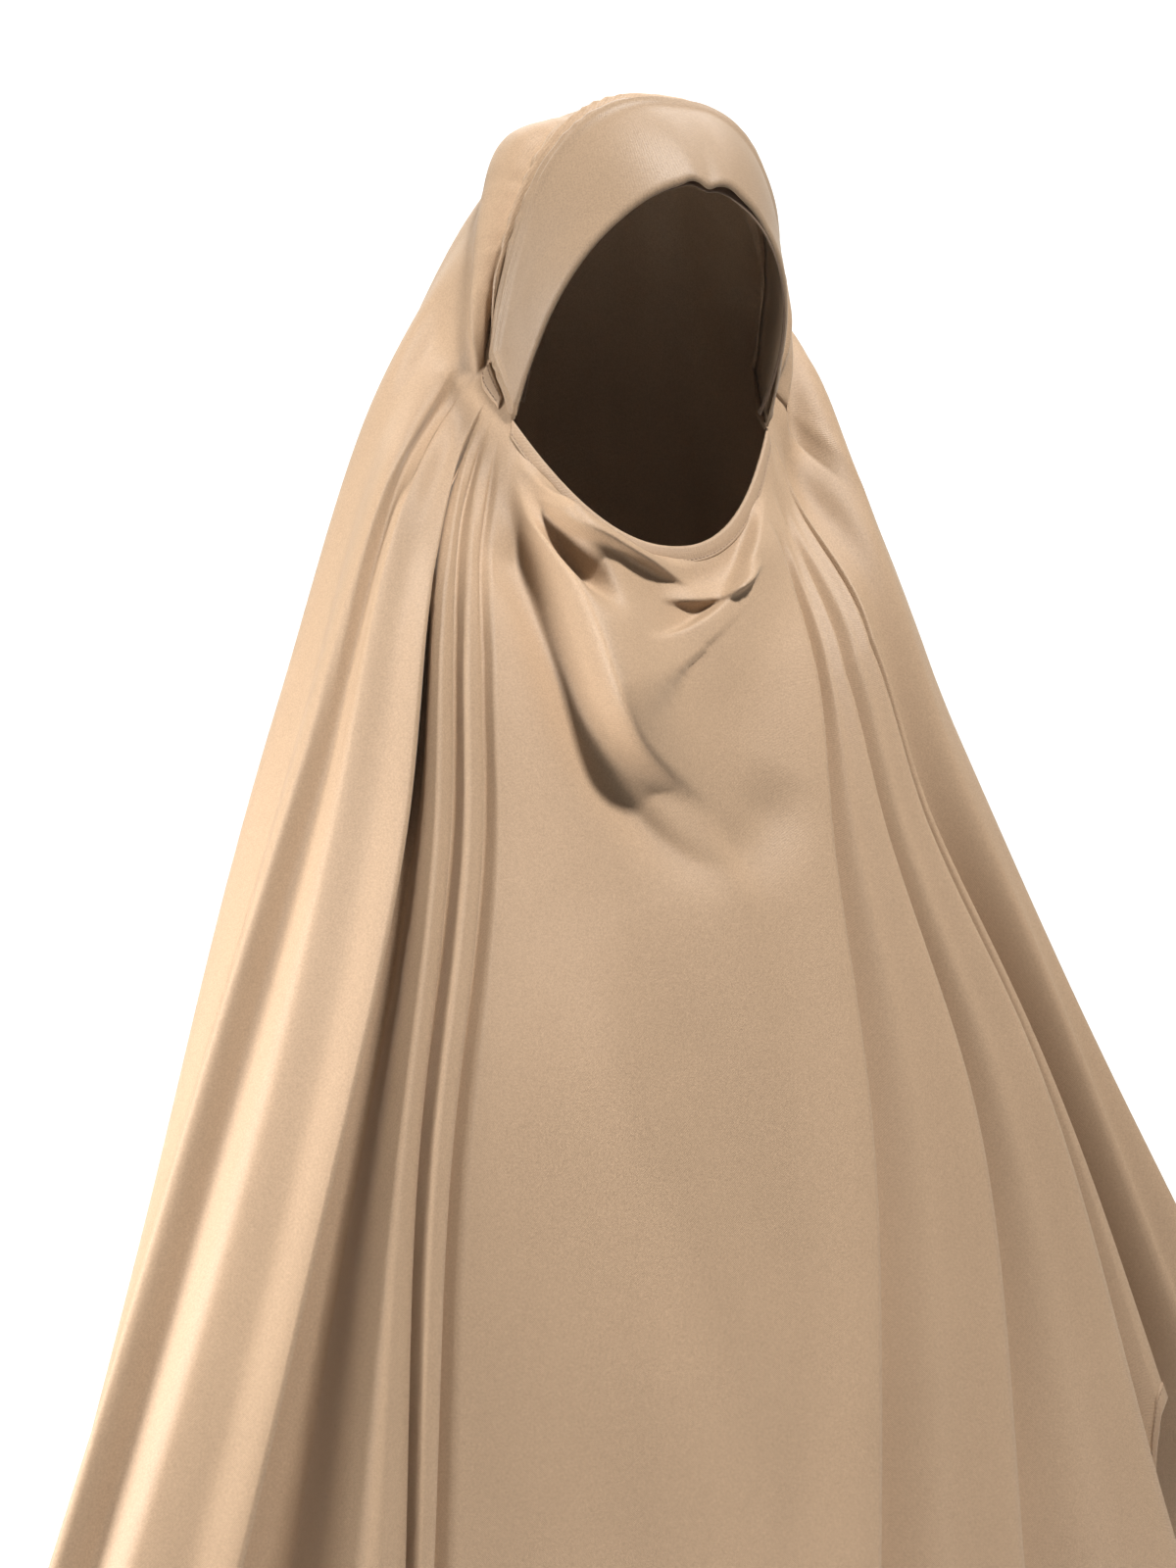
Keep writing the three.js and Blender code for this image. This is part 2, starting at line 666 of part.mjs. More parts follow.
const partOf = (turn) => ((turn < 0 ? -1 : 1) * (backTurn - Math.abs(turn))) / (backTurn - chinTurn);
const bandParts = columns
  .map((column) => columnTurn(column, 0))
  .filter((turn) => Math.abs(turn) > gatherTurn + seamMargin)
  .concat(gatherTurns, gatherTurns.map((turn) => -turn))
  .map(partOf)
  .sort((a, b) => a - b);

// Rows between two lines, laid on a surface that meets both and stays off the head
function bandGrid(fromEdge, toEdge, rows, clearance) {
  const pointAt = (part, down) => {
    const from = fromEdge(part);
    const to = toEdge(part);
    const reach = Math.max(1, mix(headReach(from, 0), headReach(to, 0), ease(down)));
    const point = from.lerp(to, down);
    const fromCentre = point.setZ(point.z + headHalfHeight);
    fromCentre.multiplyScalar(reach / headReach(fromCentre.clone().setZ(fromCentre.z - headHalfHeight), 0));
    const facing = new THREE.Vector3(
      fromCentre.x / headHalfWidth ** 2,
      fromCentre.y / headHalfLength ** 2,
      fromCentre.z / headHalfHeight ** 2,
    ).normalize();
    fromCentre.addScaledVector(facing, clearance);
    return fromCentre.setZ(fromCentre.z - headHalfHeight);
  };
  return Array.from({ length: rows }, (_, r) => bandParts.map((part) => pointAt(part, r / (rows - 1))));
}

function makeBand() {
  const clearance = liningWall + seamGap + bandWall / 2;
  const seamSide = (part) => {
    const seam = seamAt(part);
    const edge = edgeAt(part);
    return seam.lerp(edge, (clothWall + seamGap) / seam.distanceTo(edge));
  };
  const grid = bandGrid(seamSide, edgeAt, bandRows, clearance);
  return wallFromGrid('forehead_band', grid, bandWall, false, clothMaterial);
}

function makeLining() {
  const beside = (part, width) => {
    const edge = edgeAt(part);
    const seam = seamAt(part);
    return edge.lerp(seam, width / edge.distanceTo(seam));
  };
  const show = (part) => liningShow * ease((part + 0.1) / 0.3) - seamGap * 3;
  const upper = (part) => beside(part, liningWidth * (1 - 0.6 * Math.abs(part)));
  const lower = (part) => beside(part, -show(part));
  const grid = bandGrid(upper, lower, 3, liningWall / 2);
  return wallFromGrid('band_lining', grid, liningWall, false, liningMaterial);
}

// Small stitched patch over each side gather: it lies on the cloth and follows its columns.
// down: the way down the gather from the crown seam to the chin hem, width: share of gatherPatchWidth

const patchDown = [0, 0.25, 0.5, 0.75, 1];
const patchWidth = [0.6, 1, 0.9, 0.7, 0.6];

function makeGatherPatch(name, side) {
  const lift = clothWall / 2 + seamGap * 2 + gatherPatchWall / 2;
  const lowMargin = 7; // degrees of turn kept clear of the band's end
  const topMargin = 3.5; // and of the crown seam
  const gathered = columns.filter((column) => {
    const turn = columnTurn(column, 0) * side;
    return turn >= chinTurn + lowMargin && turn <= gatherTurn - topMargin;
  });
  const grid = [0, 0.5, 1].map((part) => gathered.map((column) => {
    const turn = columnTurn(column, 0);
    const down = (gatherTurn - Math.abs(turn)) / (gatherTurn - chinTurn);
    const width = gatherPatchWidth * curveThrough(patchDown, patchWidth, down);
    const share = shareForWidth(turn, mix(gatherPatchStart, width, part));
    const sample = clothSample(column, share);
    sample.point.addScaledVector(sample.normal, lift);
    return sample;
  }));
  return clothWallSolid(name, grid, gatherPatchWall, false, clothMaterial);
}

const khimar = new THREE.Group();
khimar.name = 'khimar';
khimar.add(
  makeVeil(),
  makeBand(),
  makeLining(),
  makeChinHem(),
  makeBottomHem(),
  makeGatherPatch('right_gather', -1),
  makeGatherPatch('left_gather', 1),
);

export default khimar;
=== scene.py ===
import math
import bpy
import numpy as np
from mathutils import Matrix, Vector


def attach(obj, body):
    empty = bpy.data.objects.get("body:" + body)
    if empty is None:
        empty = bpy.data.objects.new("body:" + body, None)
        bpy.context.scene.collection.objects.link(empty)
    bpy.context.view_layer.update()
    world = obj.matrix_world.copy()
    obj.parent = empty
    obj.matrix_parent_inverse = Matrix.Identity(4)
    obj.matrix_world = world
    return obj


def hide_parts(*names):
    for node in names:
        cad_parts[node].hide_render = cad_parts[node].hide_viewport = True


# Khimar veil: one long cloth that hangs from a forehead band and closes under the chin
# Tables and shape functions are in millimetres, the meshes in metres
# turn: angle round the wearer in degrees, 0 under the chin, 180 down the back, + on the wearer's left
# share: way down the cloth, 0 at the face opening, 1 at the bottom hem

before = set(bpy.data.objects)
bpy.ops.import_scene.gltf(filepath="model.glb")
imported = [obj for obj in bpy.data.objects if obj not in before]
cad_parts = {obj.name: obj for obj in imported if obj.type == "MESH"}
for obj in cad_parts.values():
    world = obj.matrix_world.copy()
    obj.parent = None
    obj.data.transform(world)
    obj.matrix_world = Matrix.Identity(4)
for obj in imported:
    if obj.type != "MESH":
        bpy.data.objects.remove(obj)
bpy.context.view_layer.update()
scene = bpy.context.scene
print("frame loaded")

# Camera: the photograph's viewing angle

cameraView = {"turn": -25.0, "lift": 4.0, "distance": 1.144, "focal": 2200.0,
              "imageHeight": 1600.0, "imageMiddle": (600.0, 800.0), "crownPixel": (643.0, 113.0)}


def placeCamera(view):
    turn, lift = math.radians(view["turn"]), math.radians(view["lift"])
    back = Vector((math.sin(turn) * math.cos(lift), -math.cos(turn) * math.cos(lift), math.sin(lift)))
    right = Vector((math.cos(turn), math.sin(turn), 0))
    up = back.cross(right)
    perPixel = view["distance"] / view["focal"]
    across = (view["crownPixel"][0] - view["imageMiddle"][0]) * perPixel
    upward = (view["imageMiddle"][1] - view["crownPixel"][1]) * perPixel
    place = back * view["distance"] - right * across - up * upward
    camera = bpy.data.cameras.new("camera")
    camera.sensor_fit = "VERTICAL"
    camera.sensor_height = 24
    camera.lens = camera.sensor_height * view["focal"] / view["imageHeight"]
    camera.clip_end = 50
    holder = bpy.data.objects.new("camera", camera)
    scene.collection.objects.link(holder)
    holder.matrix_world = Matrix((
        (right.x, up.x, back.x, place.x), (right.y, up.y, back.y, place.y),
        (right.z, up.z, back.z, place.z), (0, 0, 0, 1)))
    scene.camera = holder


placeCamera(cameraView)

# Light and floor

lights = {
    "ceiling": {"at": (0.25, -1.7, 2.5), "aim": (0, 0, -0.4), "size": 0.35, "spread": 44, "power": 11,
                "tint": (1, 0.985, 0.96)},
    "left": {"at": (-2.0, 0.1, -0.4), "aim": (0, 0, -0.65), "size": 0.7, "spread": 54, "power": 9,
             "tint": (1, 0.985, 0.955)},
    "backdrop": {"at": (0.68, 1.45, 1.9), "aim": (1.44, 3.08, -0.6), "size": 2.4, "spread": 180, "power": 125,
                 "tint": (1, 1, 1)},
}
skyStrength = 0.11
for name, light in lights.items():
    lamp = bpy.data.lights.new(name, "AREA")
    lamp.size = light["size"]
    lamp.energy = light["power"]
    lamp.color = light["tint"]
    lamp.spread = math.radians(light["spread"])
    holder = bpy.data.objects.new(name, lamp)
    holder.location = light["at"]
    toward = Vector(light["aim"]) - Vector(light["at"])
    holder.rotation_euler = toward.to_track_quat("-Z", "Y").to_euler()
    holder.visible_camera = False
    scene.collection.objects.link(holder)

world = bpy.data.worlds.new("studio")
world.use_nodes = True
world.node_tree.nodes["Background"].inputs["Color"].default_value = (1, 1, 1, 1)
world.node_tree.nodes["Background"].inputs["Strength"].default_value = skyStrength
scene.world = world
scene.view_settings.view_transform = "Standard"


def gridMesh(name, points, closeRows=False, closeColumns=False, uv=None, capEnds=False):
    # points: array (rows, columns, 3) in metres; uv: array with one more row or column where it closes
    rows, columns = points.shape[:2]
    r, c = np.meshgrid(np.arange(rows if closeRows else rows - 1),
                       np.arange(columns if closeColumns else columns - 1), indexing="ij")
    down, along = (r + 1) % rows, (c + 1) % columns
    faces = np.stack([r * columns + c, down * columns + c, down * columns + along, r * columns + along], -1)
    faces = faces.reshape(-1, 4)
    mesh = bpy.data.meshes.new(name)
    mesh.vertices.add(rows * columns)
    mesh.vertices.foreach_set("co", points.reshape(-1).astype(np.float32))
    caps = [] if not capEnds else [np.arange(rows)[::-1] * columns, np.arange(rows) * columns + columns - 1]
    total = faces.size + sum(cap.size for cap in caps)
    mesh.loops.add(total)
    mesh.loops.foreach_set("vertex_index", np.concatenate([faces.reshape(-1)] + caps).astype(np.int32))
    sizes = np.array([4] * len(faces) + [cap.size for cap in caps], np.int32)
    mesh.polygons.add(len(sizes))
    mesh.polygons.foreach_set("loop_start", np.concatenate([[0], np.cumsum(sizes)[:-1]]).astype(np.int32))
    mesh.polygons.foreach_set("loop_total", sizes)
    mesh.polygons.foreach_set("use_smooth", np.ones(len(sizes), bool))
    mesh.update(calc_edges=True)
    if uv is not None:
        layer = mesh.uv_layers.new(name="clothMap")
        corners = np.stack([uv[r, c], uv[r + 1, c], uv[r + 1, c + 1], uv[r, c + 1]], -2).reshape(-1, 2)
        spare = np.zeros((total - len(corners), 2))
        layer.data.foreach_set("uv", np.concatenate([corners, spare]).reshape(-1).astype(np.float32))
    piece = bpy.data.objects.new(name, mesh)
    scene.collection.objects.link(piece)
    return piece


def ease(value):
    value = np.clip(value, 0, 1)
    return value * value * (3 - 2 * value)


def mix(start, end, part):
    return start + (end - start) * part


def hump(value, middle, spread):
    # 1 at the middle, falling off smoothly on both sides
    return np.exp(-((value - middle) / spread) ** 2)


def grown(value, startAndSpan):
    # 0 up to the start, then growing to 1 over the span
    start, span = startAndSpan
    return ease((value - start) / span)


def sideOf(turn):
    # -1 on the wearer's right, 1 on the left
    return np.where(turn < 0, -1.0, 1.0)


def curveThrough(places, values, at, index=()):
    # smooth curve through values at rising places, slopes taken from the neighbours
    # values: one row per place; at: array of places; index: the entry of the row that each point takes
    places = np.asarray(places, float)
    values = np.asarray(values, float)
    gaps = np.diff(places).reshape((-1,) + (1,) * (values.ndim - 1))
    slopes = np.diff(values, axis=0) / gaps
    inner = (slopes[:-1] * gaps[1:] + slopes[1:] * gaps[:-1]) / (gaps[:-1] + gaps[1:])
    tangents = np.concatenate([slopes[:1], inner, slopes[-1:]])
    span = np.clip(np.searchsorted(places, at, side="right") - 1, 0, len(places) - 2)
    width = places[span + 1] - places[span]
    part = (at - places[span]) / width
    square, cube = part ** 2, part ** 3
    weights = (2 * cube - 3 * square + 1, (cube - 2 * square + part) * width,
               3 * square - 2 * cube, (cube - square) * width)
    picked = [table[(span + step, *index)] for step in (0, 1) for table in (values, tangents)]
    extra = (1,) * (picked[0].ndim - span.ndim)
    return sum(weight.reshape(weight.shape + extra) * value for weight, value in zip(weights, picked))


def unit(vectors):
    return vectors / np.maximum(np.linalg.norm(vectors, axis=-1, keepdims=True), 1e-9)


# The space for the head, and the lines of the face opening

head = {"half": np.array([77.0, 94.0, 112.0]), "middle": np.array([0.0, 0.0, -112.0])}
opening = {"seamHalfWidth": 79.0, "seamRound": 0.8, "seamTop": (-37.0, -3.0), "seamEnd": (4.0, -132.0),
           "gatherLow": np.array([75.0, -16.0, -167.0]), "chin": (-53.0, -232.0), "chinRound": 2.2,
           "chinTurn": 24.0, "gatherTurn": 60.0, "gatherRound": 0.6}


def headReach(points, clearance=0):
    # 1 on the surface of the head grown by the clearance, less inside it
    half = head["half"] + np.asarray(clearance)[..., None]
    return np.linalg.norm((points - head["middle"]) / half, axis=-1)


def ontoHead(points, clearance):
    # every point moves to the surface of the head grown by the clearance
    reach = np.maximum(headReach(points, clearance), 1e-6)
    return head["middle"] + (points - head["middle"]) / reach[..., None]


def offHead(points, clearance):
    # only points inside that surface move out to it
    inside = headReach(points, clearance) < 1
    return np.where(inside[..., None], ontoHead(points, clearance), points)


def seamPoint(part):
    # part: 0 at the side gathers, 1 at the top of the head
    across = np.cos(np.pi / 2 * part).clip(0) ** opening["seamRound"]
    up = np.sin(np.pi / 2 * part).clip(0) ** opening["seamRound"]
    return np.stack([opening["seamHalfWidth"] * across, mix(opening["seamEnd"][0], opening["seamTop"][0], up),
                     mix(opening["seamEnd"][1], opening["seamTop"][1], up)], -1)


def chinPoint(part):
    # part: 0 in the middle of the chin, 1 at the side gathers
    low = opening["gatherLow"]
    return np.stack([low[0] * part, mix(opening["chin"][0], low[1], part ** 2),
                     mix(opening["chin"][1], low[2], part ** opening["chinRound"])], -1)


def faceLoop(turn):
    # the edge of the face opening: chin hem, side gathers and crown seam
    away = np.abs(turn)
    chinTurn, gatherTurn = opening["chinTurn"], opening["gatherTurn"]
    chin = chinPoint(np.clip(away / chinTurn, 0, 1))
    seam = seamPoint(np.clip((away - gatherTurn) / (180 - gatherTurn), 0, 1))
    seamEnd = seamPoint(np.zeros(1))[0]
    climb = np.clip((away - chinTurn) / (gatherTurn - chinTurn), 0, 1) ** opening["gatherRound"]
    gather = mix(opening["gatherLow"], seamEnd, climb[..., None])
    upper = np.where((away <= gatherTurn)[..., None], gather, seam)
    points = np.where((away <= chinTurn)[..., None], chin, upper)
    return points * np.stack([sideOf(turn), np.ones(turn.shape), np.ones(turn.shape)], -1)


# Veil: rings that the cloth passes on its way down
# gatherFrom, gatherTo: angles on the ring between which the side gathers fan out
# bend: 1 where the ring slopes evenly from front to back, 2 where its front and back hang low

veil = {
    "rings": [
        {"share": 0.07, "halfWidth": 96, "sideY": 14, "frontY": -60, "backY": 44,
         "frontZ": -262, "sideZ": -158, "backZ": 0, "gatherFrom": 60, "gatherTo": 89, "bend": 1},
        {"share": 0.2, "halfWidth": 143, "sideY": -16, "frontY": -78, "backY": 108,
         "frontZ": -310, "sideZ": -200, "backZ": -90, "gatherFrom": 44, "gatherTo": 80, "bend": 1},
        {"share": 0.36, "halfWidth": 197, "sideY": -30, "frontY": -98, "backY": 124,
         "frontZ": -400, "sideZ": -325, "backZ": -270, "gatherFrom": 30, "gatherTo": 66, "bend": 1},
        {"share": 0.68, "halfWidth": 281, "sideY": -74, "frontY": -135, "backY": 112,
         "frontZ": -610, "sideZ": -560, "backZ": -560, "gatherFrom": 25, "gatherTo": 60, "bend": 2},
        {"share": 1, "halfWidth": 370, "sideY": -115, "frontY": -170, "backY": 112,
         "frontZ": -900, "sideZ": -800, "backZ": -880, "gatherFrom": 24, "gatherTo": 58, "bend": 2},
    ],
    "standOff": 10.0, "standTopSpan": 55.0, "standSideSpan": 30.0, "plainClear": 1.5, "foldedClear": 1.2,
    # share at which folds, their lean and the drapes start, and the span over which they grow
    "foldStart": (0.02, 0.1), "leanStart": (0.05, 0.6), "drapeStart": (0.008, 0.02), "fullnessSpan": 0.02,
    "drapeForward": (20.0, 20.0), "drapeSteps": 48,
    # steps of turn and share over which directions and lengths are measured
    "turnStep": 0.5, "shareStep": 0.005, "frameStep": 0.003, "topStep": 0.03, "hemStep": 0.01,
    "pleatDepth": 80.0, "pleatShares": (0.22, 0.55, 0.88), "topHeight": 0.4,
    # crests and valleys in order round the wearer: turn at neck, chest and hem,
    # then heights at neck, chest and hem and the lean of the crest, as shares of pleatDepth
    "pleats": {
        "back middle crest": (-180, -180, -180, 0.02, 0.1, 0.17, 0),
        "back right valley": (-166, -166, -166, -0.04, -0.15, -0.22, 0),
        "back right crest": (-152, -152, -152, 0.04, 0.13, 0.22, 0),
        "back right valley 2": (-139, -139, -139, -0.05, -0.15, -0.25, 0),
        "back right crest 2": (-126, -126, -126, 0.02, 0.1, 0.2, 0),
        "back right valley 3": (-113, -113, -113, -0.02, -0.1, -0.17, 0),
        "right side crest": (-97, -99, -101, 0.03, 0.03, -0.08, 0),
        "right side valley": (-84, -90, -94, -0.02, -0.05, -0.08, 0),
        "upper ridge": (-70, -82, -88, 0.05, 0.08, 0.12, 0),
        "shallow valley": (-65, -72, -79, -0.02, -0.04, -0.05, 0),
        "lower ridge": (-60, -62.5, -70, 0.06, 0.1, 0.1, 0),
        "side fold flank": (-51, -55.5, -62, 0.04, 0.08, 0.1, 0),
        "side fold edge": (-42.6, -49.8, -55.6, 0.06, 0.13, 0.18, 0.03),
        "deep valley": (-41.8, -48.4, -53.6, -0.2, -0.6, -0.95, 0),
        "deep valley floor": (-41.2, -44.6, -46, -0.2, -0.6, -0.95, 0),
        "third pleat edge": (-40.4, -42.4, -41.4, 0, -0.06, -0.06, -0.04),
        "third pleat crest": (-37.8, -40.6, -38, 0.04, 0.08, 0.1, 0),
        "third pleat line": (-35, -38.8, -34.6, 0, 0.02, 0.03, 0.03),
        "groove": (-34.2, -38.1, -33.9, -0.07, -0.15, -0.17, 0),
        "second pleat crest": (-31.4, -36.2, -33, 0.03, 0.06, 0.07, 0),
        "second pleat line": (-28.6, -34.3, -32, 0.01, 0.03, 0.04, 0.03),
        "groove 2": (-27.9, -33.6, -31.3, -0.06, -0.12, -0.13, 0),
        "panel right margin": (-25.6, -31.4, -29.4, 0, 0, 0, 0),
        "panel middle": (-10, -12, -12, 0.02, 0.04, 0.06, 0),
        "panel crest": (5, 5, 0, 0.02, 0.1, 0.17, 0),
        "panel edge": (15.8, 15, 8.6, 0.06, 0.15, 0.22, 0.03),
        "panel drop": (17, 16.3, 10.2, -0.07, -0.17, -0.22, 0),
        "first left pleat": (18.8, 24, 18, 0.02, 0.02, 0.02, 0),
        "first left edge": (20.8, 31.3, 25.6, 0.05, 0.1, 0.15, 0.04),
        "first left drop": (21.9, 32.6, 27.4, -0.06, -0.15, -0.2, 0),
        "second left pleat": (25, 39, 38, 0.03, 0.05, 0.05, 0),
        "second left edge": (27.8, 44.8, 47.4, 0.06, 0.12, 0.17, 0.04),
        "second left drop": (28.9, 46.2, 49.2, -0.06, -0.12, -0.17, 0),
        "corner pleat edge": (30.6, 49.8, 56.6, 0.03, 0.03, 0.02, 0.03),
        "left hollow": (33.4, 53.4, 59.6, -0.14, -0.6, -1, 0),
        "left hollow floor": (41, 60, 64, -0.14, -0.6, -1, 0),
        "outer panel flank": (56, 70, 74, -0.05, -0.08, -0.05, 0),
        "outer panel crest": (72, 80, 84, -0.08, -0.02, 0.34, 0),
        "outer panel valley": (90, 95, 98, -0.08, -0.12, -0.1, 0),
        "back left crest": (104, 109, 111, 0.02, 0.1, 0.17, 0),
        "back left valley": (118, 122, 124, -0.03, -0.13, -0.2, 0),
        "back left crest 2": (133, 136, 137, 0.03, 0.13, 0.22, 0),
        "back left valley 2": (148, 150, 151, -0.04, -0.15, -0.25, 0),
        "back left crest 3": (164, 165, 166, 0.02, 0.08, 0.12, 0),
        "back middle crest again": (180, 180, 180, 0.02, 0.1, 0.17, 0),
    },
    # places where the cloth stands fuller: turn, its spread, share, its spread, height
    "fullness": {
        "left cheek": (82, 34, 0.057, 0.038, 17),
        "left side": (89, 24, 0.142, 0.05, 22),
        "right crown": (-132, 16, 0.035, 0.03, 6),
    },
    # folds hung under the chin, each along a line seen from the front
    # height, then its width above and below the line, the part of the line over which it
    # grows and fades, and the (x, z) points of the line
    "drapes": {
        "diagonal roll": (32, 44, 6, 0.1, 0.3,
            [(-80, -168), (-75, -200), (-69, -236), (-62, -286), (-45, -330), (8, -364)]),
        "diagonal valley": (-7, 7, 15, 0.15, 0.35,
            [(-84, -210), (-78, -250), (-69, -298), (-52, -346), (-19, -386), (21, -404)]),
        "inner valley": (-22, 9, 10, 0.2, 0.4,
            [(-76, -188), (-71, -205), (-62, -236), (-53, -260), (-46, -284)]),
        "upper crease": (10, 10, 1.8, 0.2, 0.35,
            [(-68, -206), (-55, -229), (-37, -238), (-16, -246), (8, -254)]),
        "second crease": (7, 8, 1.8, 0.3, 0.3,
            [(-18, -261), (9, -262), (30, -256), (46, -241)]),
        "first cowl": (11, 30, 2.4, 0.4, 0.3,
            [(58, -182), (54, -214), (41, -238), (22, -262), (-4, -279), (-38, -292)]),
        "lower dent": (-5, 20, 20, 0.3, 0.4,
            [(0, -394), (26, -376), (46, -344)]),
        "soft ridge": (6, 40, 30, 0.3, 0.4,
            [(-78, -400), (-54, -500), (-26, -600), (10, -720)]),
        "soft valley": (-5, 34, 40, 0.3, 0.45,
            [(-44, -410), (-18, -500), (12, -600), (40, -700)]),
    },
    "cornerPull": 0.165, "cornerTurn": 56.6, "cornerSpread": (8.0, 5.0), "cornerStart": 0.55,
    "columnWidth": {"panel": 0.5, "side": 0.85, "back": 1.2}, "rows": 212, "rowCrowding": 1.4,
    "hemWidth": 9.5, "chinHemWidth": 9.0, "chinMargin": 0.3, "tuck": 2.0,
    "allowance": 3.0, "allowanceClear": 0.2,
}

pleatTable = np.array([row for row in veil["pleats"].values()], float)
pleatAt, pleatHeights, pleatLean = pleatTable[:, :3].T, pleatTable[:, 3:6].T, pleatTable[:, 6]


def plainCloth(turn, share):
    # curves from the face opening through the rings; turn and share: arrays of one shape
    turn = turn - 360 * np.round(turn / 360)
    away = np.abs(turn)
    knots = [0, opening["chinTurn"], opening["gatherTurn"], 180]
    loops = [faceLoop(turn)]
    for ring in veil["rings"]:
        angle = np.radians(curveThrough(knots, [0, ring["gatherFrom"], ring["gatherTo"], 180], away))
        forward = np.cos(angle)
        reachY = np.where(forward > 0, ring["frontY"], ring["backY"])
        reachZ = np.where(forward > 0, ring["frontZ"], ring["backZ"])
        loops.append(np.stack([ring["halfWidth"] * np.sin(angle) * sideOf(turn),
                               mix(ring["sideY"], reachY, np.abs(forward)),
                               mix(ring["sideZ"], reachZ, np.abs(forward) ** ring["bend"])], -1))
    places = [0] + [ring["share"] for ring in veil["rings"]]
    points = curveThrough(places, np.stack(loops), share, np.indices(turn.shape))
    overTop = ease((180 - away) / veil["standTopSpan"])
    overSide = overTop * ease((away - 2 * opening["chinTurn"]) / veil["standSideSpan"])
    standOff = veil["standOff"] * ease(share / veil["rings"][0]["share"]) * overSide
    return offHead(points, veil["plainClear"] + standOff)


def drapeRelief(points, share):
    # sum of the folds under the chin: each one height * exp(-(distance / width)^2) off its line
    x, z = points[..., 0], points[..., 2]
    relief = np.zeros(x.shape)
    for height, above, below, grow, fade, line in veil["drapes"].values():
        steps = np.linspace(0, len(line) - 1, veil["drapeSteps"])
        fine = curveThrough(np.arange(len(line)), line, steps)
        best = np.full(x.shape, 1e9)
        signed = np.zeros(x.shape)
        along = np.zeros(x.shape)
        for step, (start, end) in enumerate(zip(fine[:-1], fine[1:])):
            way = end - start
            length = np.hypot(*way)
            part = np.clip(((x - start[0]) * way[0] + (z - start[1]) * way[1]) / length ** 2, 0, 1)
            offX, offZ = x - start[0] - part * way[0], z - start[1] - part * way[1]
            distance = np.hypot(offX, offZ)
            nearer = distance < best
            best = np.where(nearer, distance, best)
            signed = np.where(nearer, way[0] * offZ - way[1] * offX, signed)
            along = np.where(nearer, (step + part) / (len(fine) - 1), along)
        width = np.where(signed > 0, above, below)
        relief += height * hump(best, 0, width) * ease(along / grow) * ease((1 - along) / fade)
    return relief * grown(-points[..., 1], veil["drapeForward"]) * grown(share, veil["drapeStart"])


def standFuller(turn, share):
    relief = 0
    for middle, spread, low, reach, height in veil["fullness"].values():
        relief = relief + height * np.exp(-((turn - middle) / spread) ** 2 - ((share - low) / reach) ** 2)
    return relief * ease(share / veil["fullnessSpan"])


def clothPoints(place, part, share):
    # place: index of the pleat before the column, part: way to the next one, share: way down
    # all three are arrays (rows, columns)
    def betweenPleats(knots, values, at, way):
        before, after = (curveThrough(knots, values, at, (pleat,)) for pleat in (place, place + 1))
        return mix(before, after, way)

    hemTurn = mix(pleatAt[2][place], pleatAt[2][place + 1], part)
    spread = np.where(hemTurn < veil["cornerTurn"], *veil["cornerSpread"])
    pulled = ease((share - veil["cornerStart"]) / (1 - veil["cornerStart"]))
    share = share - veil["cornerPull"] * hump(hemTurn, veil["cornerTurn"], spread) * pulled
    neck, chest, _ = veil["pleatShares"]
    turn = betweenPleats(veil["pleatShares"], pleatAt, np.clip(share, neck, 1), part)
    heights = np.concatenate([pleatHeights[:1] * veil["topHeight"], pleatHeights])
    height = betweenPleats((0, neck, chest, 1), heights, share, ease(part))
    height = height * veil["pleatDepth"] * grown(share, veil["foldStart"])
    lean = mix(pleatLean[place], pleatLean[place + 1], ease(part))
    lean = lean * veil["pleatDepth"] * grown(share, veil["leanStart"])
    points = plainCloth(turn, share)
    ahead = unit(plainCloth(turn + veil["turnStep"], share) - plainCloth(turn - veil["turnStep"], share))
    below, over = np.minimum(share + veil["shareStep"], 1), np.maximum(share - veil["shareStep"], 0)
    down = unit(plainCloth(turn, below) - plainCloth(turn, over))
    out = unit(np.cross(down, ahead))
    relief = height + drapeRelief(points, share) + standFuller(turn, share) + fineRelief(turn, share)
    points = points + out * relief[..., None] + ahead * lean[..., None]
    return offHead(points, veil["foldedClear"]), turn


# Fine folds: soft ones along the fall of the cloth, and behind the crown seam a puffed edge with puckers,
# two fine gathered ridges and a valley that run down to the side gathers
# valleys and ridges: weight, place and spread, the last two as parts of the way to the valley

fineFolds = {
    "softHeight": 1.2, "softWaves": ((11, 3), (4.3, 5)), "softStart": (0.1, 0.4), "seamStart": (62, 10),
    "puffHeight": 4.4, "puffRise": 0.003, "puffFade": 0.04,
    "puckerHeight": 1.1, "puckerWaves": (43, 3, 7, 5.3), "puckerRise": 0.006, "puckerFade": 0.02,
    "valleyShare": (0.011, 0.016), "valleyTurns": (60, 90), "gatherStart": (56, 12), "gatherEnd": (158, 26),
    "valleyHeight": 9.0, "valleys": ((1, 1, 0.3), (-0.5, 2.1, 0.6)),
    "ridgeHeight": 2.6, "ridges": ((1, 0.62, 0.1), (1, 0.34, 0.1)),
}


